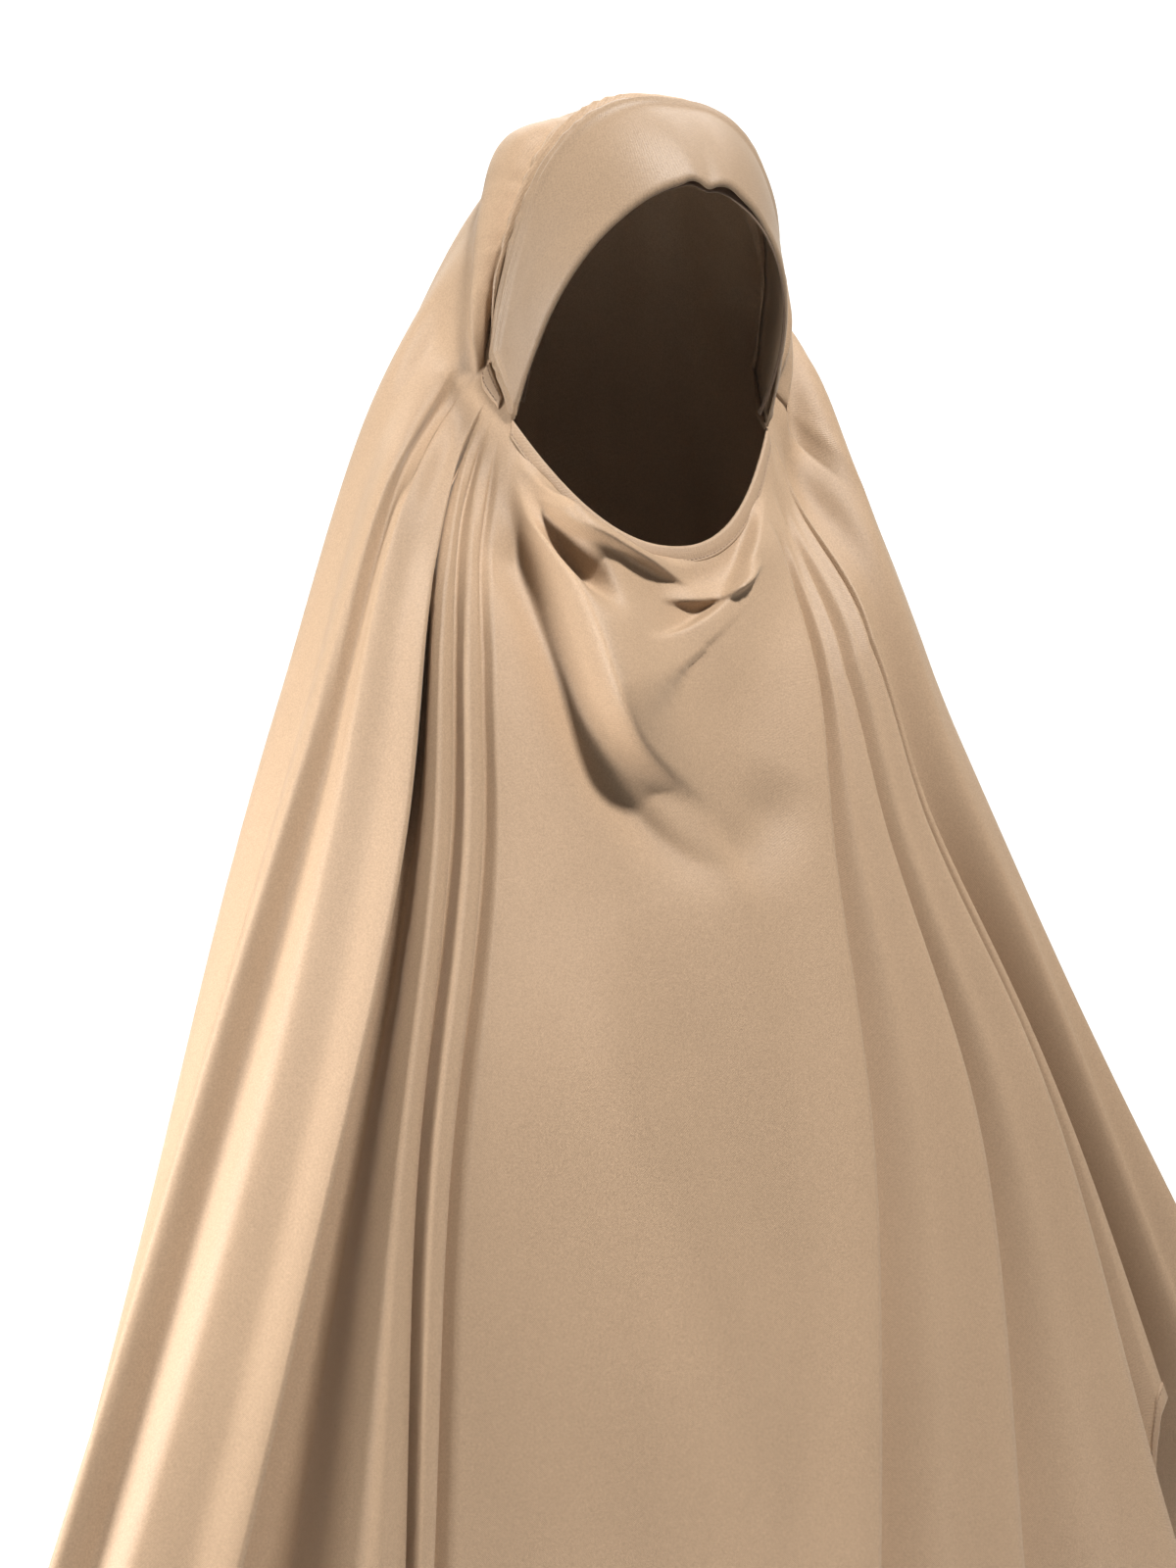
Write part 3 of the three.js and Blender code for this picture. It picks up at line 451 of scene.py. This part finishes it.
def fineRelief(turn, share):
    first, second = (np.sin(np.radians(turn * waves) + drift * share)
                     for waves, drift in fineFolds["softWaves"])
    soft = fineFolds["softHeight"] * (first * second) * grown(share, fineFolds["softStart"])
    away = np.abs(turn - 360 * np.round(turn / 360))
    seam = grown(away, fineFolds["seamStart"])
    waves, sway, slow, swell = fineFolds["puckerWaves"]
    wave = np.sin(np.radians(turn * waves) + sway * np.sin(np.radians(turn * slow)))
    pucker = wave * np.sin(np.radians(turn * swell)) * np.exp(-share / fineFolds["puckerFade"])
    pucker = fineFolds["puckerHeight"] * pucker * ease(share / fineFolds["puckerRise"])
    puff = fineFolds["puffHeight"] * ease(share / fineFolds["puffRise"])
    puff = puff * np.exp(-share / fineFolds["puffFade"])
    (near, more), (fromTurn, overTurns) = fineFolds["valleyShare"], fineFolds["valleyTurns"]
    low = near + more * (away - fromTurn) / overTurns
    endTurn, endSpan = fineFolds["gatherEnd"]
    gathered = ease((endTurn - away) / endSpan) * grown(away, fineFolds["gatherStart"])
    valley, ridge = (sum(weight * hump(share, place * low, spread * low)
                         for weight, place, spread in fineFolds[kind]) for kind in ("valleys", "ridges"))
    return soft + seam * (puff + pucker) - gathered * (fineFolds["valleyHeight"] * valley
                                                       + fineFolds["ridgeHeight"] * ridge)


def veilColumns():
    # columns follow the pleats: each gap between two of them is cut into equal parts
    places, parts = [], []
    names = list(veil["pleats"])
    for place, name in enumerate(names[:-1]):
        kind = "panel" if name.startswith("panel") else "back" if name.startswith("back") else "side"
        gap = pleatAt[1, place + 1] - pleatAt[1, place]
        count = max(3, int(round(gap / veil["columnWidth"][kind])))
        places += [place] * count
        parts += [step / count for step in range(count)]
    return np.array(places), np.array(parts)


columnPlace, columnPart = veilColumns()
columnTurnTop = mix(pleatAt[0][columnPlace], pleatAt[0][columnPlace + 1], columnPart)


def shareForWidth(turn, width):
    # share at which the cloth is width millimetres below the face opening
    turns = turn[None, :]
    way = plainCloth(turns, np.full(turns.shape, veil["topStep"])) - plainCloth(turns, np.zeros(turns.shape))
    return veil["topStep"] * width / np.linalg.norm(way, axis=-1)[0]


def clothRow(share):
    # one line round the cloth, at one share per column
    points, _ = clothPoints(columnPlace[None, :], columnPart[None, :], share[None, :])
    return points[0]


hemLine = np.ones(len(columnPlace))
hemLength = np.linalg.norm(clothRow((1 - veil["hemStep"]) * hemLine) - clothRow(hemLine), axis=-1)


def bottomShare(width):
    # share at which the cloth is width millimetres above its lower edge
    return 1 - veil["hemStep"] * width / hemLength


isChin = np.abs(columnTurnTop) <= opening["chinTurn"] + veil["chinMargin"]
topShare = np.where(isChin, shareForWidth(columnTurnTop, veil["chinHemWidth"] - veil["tuck"]), 0.0)
lowShare = bottomShare(veil["hemWidth"] - veil["tuck"])

fan = {"inner": 0.25, "length": 0.93, "spread": 0.36}


def clothMap(turn, share):
    # the cloth laid flat as a fan, in metres: the weave runs straight across it
    radius, angle = fan["inner"] + fan["length"] * share, np.radians(turn * fan["spread"])
    return np.stack([radius * np.sin(angle), -radius * np.cos(angle)], -1)


def stripMap(along, across):
    # a strip laid flat, in metres: places along its length and round its section
    return np.stack(np.broadcast_arrays(along[None, :], across[:, None]), -1)


def makeVeil():
    down = (np.linspace(0, 1, veil["rows"]) ** veil["rowCrowding"])[:, None]
    share = mix(topShare[None, :], lowShare[None, :], down)
    place = np.broadcast_to(columnPlace[None, :], share.shape)
    part = np.broadcast_to(columnPart[None, :], share.shape)
    points, turn = clothPoints(place, part, share)
    turnedIn = points[:1] + unit(points[:1] - points[1:2]) * veil["allowance"]
    turnedIn = np.where(isChin[None, :, None], turnedIn, ontoHead(turnedIn, veil["allowanceClear"]))
    points = np.concatenate([turnedIn, points])
    share = np.concatenate([2 * share[:1] - share[1:2], share])
    turn = np.concatenate([turn[:1], turn])
    closed = np.concatenate([turn, turn[:, :1] + 360], 1)
    flat = clothMap(closed, np.concatenate([share, share[:, :1]], 1))
    return gridMesh("veil_cloth", points / 1000, closeColumns=True, uv=flat)


veilPiece = makeVeil()
print("veil made")


def clothFrames(share):
    # points on a line round the cloth with the directions down the cloth and out of it
    points = clothRow(share)
    step = veil["frameStep"]
    down = unit(clothRow(np.minimum(share + step, 1)) - clothRow(np.maximum(share - step, 0)))
    before, after = np.roll(points, 1, 0), np.roll(points, -1, 0)
    along = unit(unit(after - points) + unit(points - before))
    return points, down, unit(np.cross(down, along))


def carriedProfile(points, down, out, profile):
    # profile: (way down, way out) pairs round the section, carried along the line of points
    profile = np.array(profile, float)
    return points[None] + profile[:, :1, None] * down[None] + profile[:, 1:, None] * out[None]


def makeHem(name, hem, share, columns, closed):
    # folded edge carried along a line of the cloth, round all of it or along some columns
    points, down, out = clothFrames(share)
    section = carriedProfile(points[columns], down[columns], out[columns], hem["profile"])
    turn = columnTurnTop[columns]
    if closed:
        turn = np.concatenate([turn, turn[:1] + 360])
    flat = stripMap(turn * hem["perTurn"], np.linspace(0, hem["aroundFold"], len(hem["profile"]) + 1))
    return gridMesh(name, section / 1000, closeRows=True, closeColumns=closed, uv=flat, capEnds=not closed)


# Bottom hem: the cloth folded in and stitched

bottomHem = {"perTurn": 0.0072, "aroundFold": 0.02,
             "profile": [(-0.6, 0.1), (0, 0.5), (2.5, 0.55), (5, 0.6), (8.4, 0.65), (9.5, 0.4), (9.8, -0.1),
                         (9.4, -0.6), (8.2, -0.9), (5, -0.9), (2, -0.9), (0, -0.8), (-0.6, -0.2)]}
bottomHemPiece = makeHem("bottom_hem_cloth", bottomHem, bottomShare(veil["hemWidth"]),
                         np.arange(len(columnPlace)), True)

# Chin hem: the folded and stitched edge of the face opening under the chin

chinHem = {"perTurn": 0.0035, "aroundFold": 0.02,
           "profile": [(0.2, -0.9), (-0.3, 0), (0.2, 0.9), (1.5, 1.1), (4, 0.9), (6.6, 0.95), (7.4, 0.6),
                       (8.2, 0.9), (9, 0.75), (9.4, 0.2), (9, -0.6), (6, -1), (2, -1.1)]}
chinIndex = np.where(isChin)[0]
chinHemPiece = makeHem("chin_hem_cloth", chinHem, np.zeros(len(columnPlace)), chinIndex, False)

# Forehead band: smooth doubled cloth from the crown seam to a rolled front edge
# teeth: height, middle and spread along the front edge; creases: height, way from the seam and spread

band = {
    "halfWidth": 73.0, "middle": (-84.0, -54.0), "end": (-17.0, -166.5), "clearance": 1.4, "wall": 1.2,
    "underside": 0.4, "columns": 280, "rows": 30, "endGap": 0.01,
    "teeth": ((2.4, 0.02, 0.035), (-1.4, -0.06, 0.04), (-1.4, 0.13, 0.05)),
    "creases": ((2.6, 12, 2), (-1.8, 7, 1.8)), "creaseSpan": 40,
    "puckerHeight": 0.45, "puckerWaves": (88, 2, 23), "puckerFade": 5, "rollHeight": 1.6, "rollWidth": 2.2,
    "tuckDepth": 3.2, "tuckFade": 1.6, "mapLength": 0.17, "mapWidth": 0.09, "mapGap": 0.003,
}


def seamAt(part):
    # the crown seam, and past its end the side gather down to the chin hem
    return faceLoop(sideOf(part) * (180 - (180 - opening["chinTurn"]) * np.abs(part)))


def overHead(points, start, end, down, lift):
    # points between two lines, laid on a surface that meets both lines, raised by lift millimetres
    wanted = np.maximum(mix(headReach(start)[None], headReach(end)[None], ease(down)), 1)
    fromMiddle = points - head["middle"]
    surface = head["middle"] + fromMiddle * (wanted / np.maximum(headReach(points), 1e-6))[..., None]
    return surface + unit(fromMiddle / head["half"] ** 2) * lift[..., None]


def bandEdgeAt(part):
    # part: signed, 0 over the middle of the forehead, 1 at the side gathers
    angle = np.pi / 2 * np.abs(part)
    fall = 1 - np.cos(angle)
    tooth = sum(height * hump(part, middle, spread) for height, middle, spread in band["teeth"])
    return np.stack([band["halfWidth"] * np.sin(angle) * sideOf(part),
                     mix(band["middle"][0], band["end"][0], fall),
                     mix(band["middle"][1], band["end"][1], fall) - tooth], -1)


def makeStrip(name, outer, back, along, look):
    # closed strip of its outer points and of its back ones in reverse order
    section = np.concatenate([outer, back], 0)
    across = np.append(np.linspace(0, look["mapWidth"], len(section)), look["mapGap"])
    flat = stripMap(along * look["mapLength"], across)
    return gridMesh(name, section / 1000, closeRows=True, uv=flat, capEnds=True)


def makeBand():
    part = np.linspace(-1 + band["endGap"], 1 - band["endGap"], band["columns"])
    seam, edge = seamAt(part), bandEdgeAt(part)
    down = np.linspace(0, 1, band["rows"])[:, None]
    width = np.linalg.norm(edge - seam, axis=-1)[None, :]
    fromSeam = down * width
    straight = mix(seam[None], edge[None], down[..., None])
    crease = sum(height * hump(fromSeam, middle, spread) for height, middle, spread in band["creases"])
    waves, sway, slow = band["puckerWaves"]
    pucker = band["puckerHeight"] * np.sin(part * waves + sway * np.sin(part * slow))[None, :]
    pucker = pucker * np.exp(-fromSeam / band["puckerFade"])
    roll = -band["rollHeight"] * ease((fromSeam - width + band["rollWidth"]) / band["rollWidth"])
    tuck = band["tuckDepth"] * np.exp(-fromSeam / band["tuckFade"])
    lift = band["clearance"] + band["wall"] + crease * ease(width / band["creaseSpan"]) + pucker - tuck + roll
    outer = overHead(straight, seam, edge, down, lift)
    inner = overHead(straight, seam, edge, down, np.full(lift.shape, band["underside"]))
    return makeStrip("forehead_band_cloth", outer, inner[::-3], part, band)


bandPiece = makeBand()

# Lining: a thin strip that looks out under the band on the wearer's left, coloured very dark as painted shade
# under the band's edge

lining = {"width": 10.0, "narrowing": 0.6, "show": 3.0, "showStart": (-0.1, 0.3), "hidden": 1.0,
          "clearances": (0.3, 0.8), "columns": 200, "rows": 8, "end": 0.97,
          "mapLength": 0.17, "mapWidth": 0.03, "mapGap": 0.001}


def makeLining():
    part = np.linspace(-lining["end"], lining["end"], lining["columns"])
    seam, edge = seamAt(part), bandEdgeAt(part)
    way = unit(edge - seam)
    show = lining["show"] * grown(part, lining["showStart"]) - lining["hidden"]
    deep = -lining["width"] * (1 - lining["narrowing"] * np.abs(part))
    depth = mix(deep, show, np.linspace(0, 1, lining["rows"])[:, None])
    line = edge[None] + way[None] * depth[..., None]
    inner, outer = (ontoHead(line, clearance) for clearance in lining["clearances"])
    return makeStrip("band_lining_cloth", outer, inner[::-1], part, lining)


liningPiece = makeLining()

# Gather patches: small stitched strips over the side gathers

patch = {"down": (0, 0.25, 0.5, 0.75, 1), "width": (7, 12, 11, 8.5, 7), "start": 1.5, "lowMargin": 7.0,
         "topMargin": 3.5, "lift": 1.6, "underside": 0.3, "rows": 9, "edgeDrop": 0.6, "edgeRound": 4,
         "stitchRows": (2, 6), "mapLength": 0.04, "mapWidth": 0.024, "mapGap": 0}


def makePatch(name, side):
    turn = columnTurnTop * side
    low, high = opening["chinTurn"] + patch["lowMargin"], opening["gatherTurn"] - patch["topMargin"]
    index = np.where((turn >= low) & (turn <= high))[0]
    gatherSpan = opening["gatherTurn"] - opening["chinTurn"]
    down = (opening["gatherTurn"] - np.abs(columnTurnTop[index])) / gatherSpan
    width = curveThrough(patch["down"], patch["width"], down)
    outer, inner = [], []
    for step in np.linspace(0, 1, patch["rows"]):
        share = np.zeros(len(columnPlace))
        share[index] = shareForWidth(columnTurnTop[index], mix(patch["start"], width, step))
        points, _, out = clothFrames(share)
        rise = patch["lift"] * (1 - abs(2 * step - 1) ** patch["edgeRound"] * patch["edgeDrop"])
        outer.append(points[index] + out[index] * rise)
        inner.append(points[index] + out[index] * patch["underside"])
    return makeStrip(name, np.stack(outer), np.stack(inner)[::-1], down, patch), np.stack(outer)


rightPatch, rightOuter = makePatch("right_gather_cloth", -1)
leftPatch, leftOuter = makePatch("left_gather_cloth", 1)
print("cloth pieces made")

# Stitches: short thread loops laid along a line, each a small closed tube

# rings of one stitch: way along it, thickness as a part of the radius, and height above the line
stitching = {"pitch": 2.6, "length": 1.9, "radius": 0.19, "sides": 6,
             "rings": [(0.0, 0.35, -0.15), (0.12, 0.9, 0.1), (0.35, 1, 0.28), (0.65, 1, 0.28),
                       (0.88, 0.9, 0.1), (1.0, 0.35, -0.15)],
             "bottomAt": (1.5, 0.5), "chinAt": (7.4, 0.6)}


def stitchLine(name, points, out):
    # points: the line, out: its outward direction; stitches stand at even steps of its length
    lengths = np.concatenate([[0], np.cumsum(np.linalg.norm(np.diff(points, axis=0), axis=-1))])
    starts = np.arange(0.0, lengths[-1] - stitching["pitch"], stitching["pitch"])
    rings = np.array(stitching["rings"])
    at = starts[:, None] + rings[None, :, 0] * stitching["length"]
    middle = np.stack([np.interp(at, lengths, points[:, axis]) for axis in range(3)], -1)
    outward = unit(np.stack([np.interp(at, lengths, out[:, axis]) for axis in range(3)], -1))
    along = unit(middle[:, -1:] - middle[:, :1])
    side = unit(np.cross(along, outward))
    middle = middle + outward * rings[None, :, 2:3]
    angle = np.linspace(0, 2 * np.pi, stitching["sides"], endpoint=False)
    spread = (np.cos(angle)[:, None] * side[:, :, None, :] + np.sin(angle)[:, None] * outward[:, :, None, :])
    tubes = middle[:, :, None, :] + spread * (stitching["radius"] * rings[None, :, 1])[..., None, None]
    count, ringCount, sides = tubes.shape[:3]
    r, s = np.meshgrid(np.arange(ringCount - 1), np.arange(sides), indexing="ij")
    beside = (s + 1) % sides
    quads = np.stack([r * sides + s, r * sides + beside, (r + 1) * sides + beside, (r + 1) * sides + s], -1)
    offsets = (np.arange(count) * ringCount * sides)[:, None, None]
    quads = (quads.reshape(1, -1, 4) + offsets).reshape(-1, 4)
    circle = np.arange(sides)[None, :]
    ends = np.concatenate([circle[:, ::-1] + offsets[:, 0], circle + (ringCount - 1) * sides + offsets[:, 0]])
    mesh = bpy.data.meshes.new(name)
    mesh.from_pydata((tubes.reshape(-1, 3) / 1000).tolist(), [], quads.tolist() + ends.tolist())
    mesh.polygons.foreach_set("use_smooth", np.ones(len(mesh.polygons), bool))
    piece = bpy.data.objects.new(name, mesh)
    scene.collection.objects.link(piece)
    return piece


def closedLine(points):
    return np.concatenate([points, points[:1]])


def stitchedAt(frames, place, columns=slice(None)):
    # line on the cloth, place: way down and way out from the framed line
    points, down, out = frames
    return (points + down * place[0] + out * place[1])[columns], out[columns]


hemAt, hemOut = stitchedAt(clothFrames(bottomShare(veil["hemWidth"])), stitching["bottomAt"])
bottomStitches = stitchLine("bottom_stitches", closedLine(hemAt), closedLine(hemOut))
chinStitches = stitchLine("chin_stitches", *stitchedAt(clothFrames(np.zeros(len(columnPlace))),
                                                       stitching["chinAt"], chinIndex))
patchStitches = []
for name, outer, side in (("right_patch_stitches", rightOuter, -1), ("left_patch_stitches", leftOuter, 1)):
    for number, row in enumerate(patch["stitchRows"]):
        outward = np.broadcast_to([side, 0.0, 0.0], outer[row].shape)
        patchStitches.append(stitchLine(name + str(number), outer[row], outward))
print("stitches made")

# Materials


def nodeGroup(name, inputs, outputs):
    group = bpy.data.node_groups.new(name, "ShaderNodeTree")
    for label, kind, value in inputs:
        socket = group.interface.new_socket(label, in_out="INPUT", socket_type=kind)
        if value is not None:
            socket.default_value = value
    for label, kind in outputs:
        group.interface.new_socket(label, in_out="OUTPUT", socket_type=kind)
    return group, group.nodes.new("NodeGroupInput"), group.nodes.new("NodeGroupOutput")


def mathNode(tree, operation, *values):
    # values: numbers, or sockets to link
    node = tree.nodes.new("ShaderNodeMath")
    node.operation = operation
    for socket, value in zip(node.inputs, values):
        if isinstance(value, (int, float)):
            socket.default_value = value
        else:
            tree.links.new(value, socket)
    return node.outputs[0]


def noiseNode(tree, place, scale, detail=2.0):
    noise = tree.nodes.new("ShaderNodeTexNoise")
    noise.inputs["Scale"].default_value = scale
    noise.inputs["Detail"].default_value = detail
    tree.links.new(place, noise.inputs["Vector"])
    return noise.outputs["Fac"]


def newMaterial(name):
    material = bpy.data.materials.new(name)
    material.use_nodes = True
    return material, material.node_tree, material.node_tree.nodes["Principled BSDF"]


def colourBetween(tree, shader, dark, light, factor):
    # base colour between two tones
    tone = tree.nodes.new("ShaderNodeMix")
    tone.data_type = "RGBA"
    tone.inputs["A"].default_value = (*dark, 1)
    tone.inputs["B"].default_value = (*light, 1)
    tree.links.new(factor, tone.inputs["Factor"])
    tree.links.new(tone.outputs["Result"], shader.inputs["Base Color"])


weave = {"threads": 900.0, "unevenScale": 700, "wander": 5.0, "crossThreads": 1.6, "ribHeight": 0.3,
         "middle": 0.5, "crossHeight": 0.12, "unevenHeight": 0.5, "shade": 0.8}


def makeWeaveGroup():
    # fine crepe twill: slanted ribs broken by cross threads, with uneven thread; Shade is the height again as
    # colour, painted shade in the low places of the weave along with uneven thread tone
    group, start, end = nodeGroup(
        "crepeWeave", [("Map", "NodeSocketVector", None), ("Threads", "NodeSocketFloat", weave["threads"])],
        [("Height", "NodeSocketFloat"), ("Shade", "NodeSocketFloat")])
    split = group.nodes.new("ShaderNodeSeparateXYZ")
    group.links.new(start.outputs["Map"], split.inputs[0])
    turns = mathNode(group, "MULTIPLY", start.outputs["Threads"], 2 * math.pi)
    across = mathNode(group, "MULTIPLY", split.outputs["X"], turns)
    down = mathNode(group, "MULTIPLY", split.outputs["Y"], turns)
    uneven = noiseNode(group, start.outputs["Map"], weave["unevenScale"])
    wander = mathNode(group, "MULTIPLY", uneven, weave["wander"])
    slant = mathNode(group, "SINE", mathNode(group, "ADD", mathNode(group, "ADD", across, down), wander))
    crossing = mathNode(group, "MULTIPLY", down, weave["crossThreads"])
    cross = mathNode(group, "SINE", mathNode(group, "SUBTRACT", crossing, wander))
    ribs = mathNode(group, "MULTIPLY_ADD", slant, weave["ribHeight"], weave["middle"])
    woven = mathNode(group, "MULTIPLY", cross, weave["crossHeight"])
    rough = mathNode(group, "MULTIPLY", uneven, weave["unevenHeight"])
    height = mathNode(group, "ADD", mathNode(group, "ADD", ribs, woven), rough)
    group.links.new(height, end.inputs["Height"])
    group.links.new(mathNode(group, "MULTIPLY", height, weave["shade"]), end.inputs["Shade"])
    return group


def makeMottleGroup():
    # slow, faint change of tone over the cloth, and a finer grain
    group, start, end = nodeGroup("clothMottle", [("Place", "NodeSocketVector", None)],
                                  [("Slow", "NodeSocketFloat"), ("Grain", "NodeSocketFloat")])
    for label, scale, detail in (("Slow", 7.0, 3.0), ("Grain", 1100.0, 2.0)):
        group.links.new(noiseNode(group, start.outputs["Place"], scale, detail), end.inputs[label])
    return group


weaveGroup, mottleGroup = makeWeaveGroup(), makeMottleGroup()

cloths = {
    "veilCrepe": {"dark": (0.3, 0.205, 0.13), "light": (0.435, 0.3, 0.194),
                  "roughness": 0.5, "sheen": 0.16, "bump": 0.35},
    # the band's crepe is the veil's cloth in darker tones: painted shade that holds down the strong light
    # falling on the band
    "bandShadedCrepe": {"dark": (0.23, 0.158, 0.101), "light": (0.335, 0.233, 0.151),
                  "roughness": 0.48, "sheen": 0.16, "bump": 0.3},
    "hemCrepe": {"dark": (0.3, 0.205, 0.132), "light": (0.385, 0.266, 0.174),
                 "roughness": 0.52, "sheen": 0.14, "bump": 0.35},
    # the lining's very dark tones are painted shade under the band's edge
    "liningPaintedShade": {"dark": (0.13, 0.085, 0.06), "light": (0.19, 0.13, 0.09),
                    "roughness": 0.7, "sheen": 0.1, "bump": 0.3},
}
clothLook = {"shadeAndMottlePart": 0.5, "grainMiddle": 0.5, "grainPart": 1.6, "bumpDistance": 0.0003,
             "specular": 0.35, "sheenRoughness": 0.45, "sheenTint": (1, 0.9, 0.78, 1)}


def makeCloth(name, look):
    material, tree, shader = newMaterial(name)
    place = tree.nodes.new("ShaderNodeTexCoord")
    weaving = tree.nodes.new("ShaderNodeGroup")
    weaving.node_tree = weaveGroup
    mottle = tree.nodes.new("ShaderNodeGroup")
    mottle.node_tree = mottleGroup
    tree.links.new(place.outputs["UV"], weaving.inputs["Map"])
    tree.links.new(place.outputs["Object"], mottle.inputs["Place"])
    # the weave's Shade paints shade into the weave's low places, with uneven thread tone; it is added to the
    # slow random mottle
    threads = mathNode(tree, "ADD", weaving.outputs["Shade"], mottle.outputs["Slow"])
    threads = mathNode(tree, "MULTIPLY", threads, clothLook["shadeAndMottlePart"])
    grain = mathNode(tree, "SUBTRACT", mottle.outputs["Grain"], clothLook["grainMiddle"])
    grain = mathNode(tree, "MULTIPLY", grain, clothLook["grainPart"])
    colourBetween(tree, shader, look["dark"], look["light"], mathNode(tree, "ADD", threads, grain))
    bump = tree.nodes.new("ShaderNodeBump")
    bump.inputs["Strength"].default_value = look["bump"]
    bump.inputs["Distance"].default_value = clothLook["bumpDistance"]
    relief = mathNode(tree, "ADD", weaving.outputs["Height"], mottle.outputs["Grain"])
    tree.links.new(relief, bump.inputs["Height"])
    tree.links.new(bump.outputs["Normal"], shader.inputs["Normal"])
    shader.inputs["Roughness"].default_value = look["roughness"]
    shader.inputs["Specular IOR Level"].default_value = clothLook["specular"]
    shader.inputs["Sheen Weight"].default_value = look["sheen"]
    shader.inputs["Sheen Roughness"].default_value = clothLook["sheenRoughness"]
    shader.inputs["Sheen Tint"].default_value = clothLook["sheenTint"]
    return material


clothMaterials = {name: makeCloth(name, look) for name, look in cloths.items()}

thread = {"dark": (0.2, 0.13, 0.09), "light": (0.33, 0.22, 0.15), "twist": 2500, "roughness": 0.6}


def makeThread():
    material, tree, shader = newMaterial("thread")
    place = tree.nodes.new("ShaderNodeTexCoord")
    twist = noiseNode(tree, place.outputs["Object"], thread["twist"])
    colourBetween(tree, shader, thread["dark"], thread["light"], twist)
    shader.inputs["Roughness"].default_value = thread["roughness"]
    return material


threadMaterial = makeThread()
print("materials made")

dressed = {
    veilPiece: ("veil", "veil_cloth", "veilCrepe"),
    bandPiece: ("forehead_band", "band_cloth", "bandShadedCrepe"),
    liningPiece: ("band_lining", "lining_cloth", "liningPaintedShade"),
    chinHemPiece: ("chin_hem", "hem_cloth", "hemCrepe"),
    bottomHemPiece: ("bottom_hem", "hem_cloth", "hemCrepe"),
    rightPatch: ("right_gather", "hem_cloth", "hemCrepe"),
    leftPatch: ("left_gather", "hem_cloth", "hemCrepe"),
}
for piece, (node, slot, cloth) in dressed.items():
    piece.data.materials.append(clothMaterials[cloth])
    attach(piece, "root")
    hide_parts(node)
for piece in (bottomStitches, chinStitches, *patchStitches):
    piece.data.materials.append(threadMaterial)
    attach(piece, "root")

# Floor: a pale sweep that rises behind the object

floor = {"level": -0.935, "half": 6.0, "rise": 5.0, "back": 2.2, "bend": 1.8, "bendSteps": 16, "columns": 9,
         "colour": (0.93, 0.93, 0.92, 1), "roughness": 0.85}


def makeFloor():
    # profile: level floor, quarter circle, upright wall, drawn out sideways
    angles = np.linspace(0, np.pi / 2, floor["bendSteps"])
    curved = floor["back"] + floor["bend"] * np.sin(angles)
    y = np.concatenate([[-floor["half"]], curved, [floor["back"] + floor["bend"]]])
    z = np.concatenate([[0], floor["bend"] * (1 - np.cos(angles)), [floor["rise"]]]) + floor["level"]
    x = np.linspace(-floor["half"], floor["half"], floor["columns"])
    points = np.stack(np.broadcast_arrays(x[None, :], y[:, None], z[:, None]), -1)
    turn = math.radians(cameraView["turn"])
    across, along = math.cos(turn), math.sin(turn)
    piece = gridMesh("floor", points @ np.array([[across, along, 0], [-along, across, 0], [0, 0, 1]]))
    material, _, shader = newMaterial("paleFloor")
    shader.inputs["Base Color"].default_value = floor["colour"]
    shader.inputs["Roughness"].default_value = floor["roughness"]
    piece.data.materials.append(material)


makeFloor()
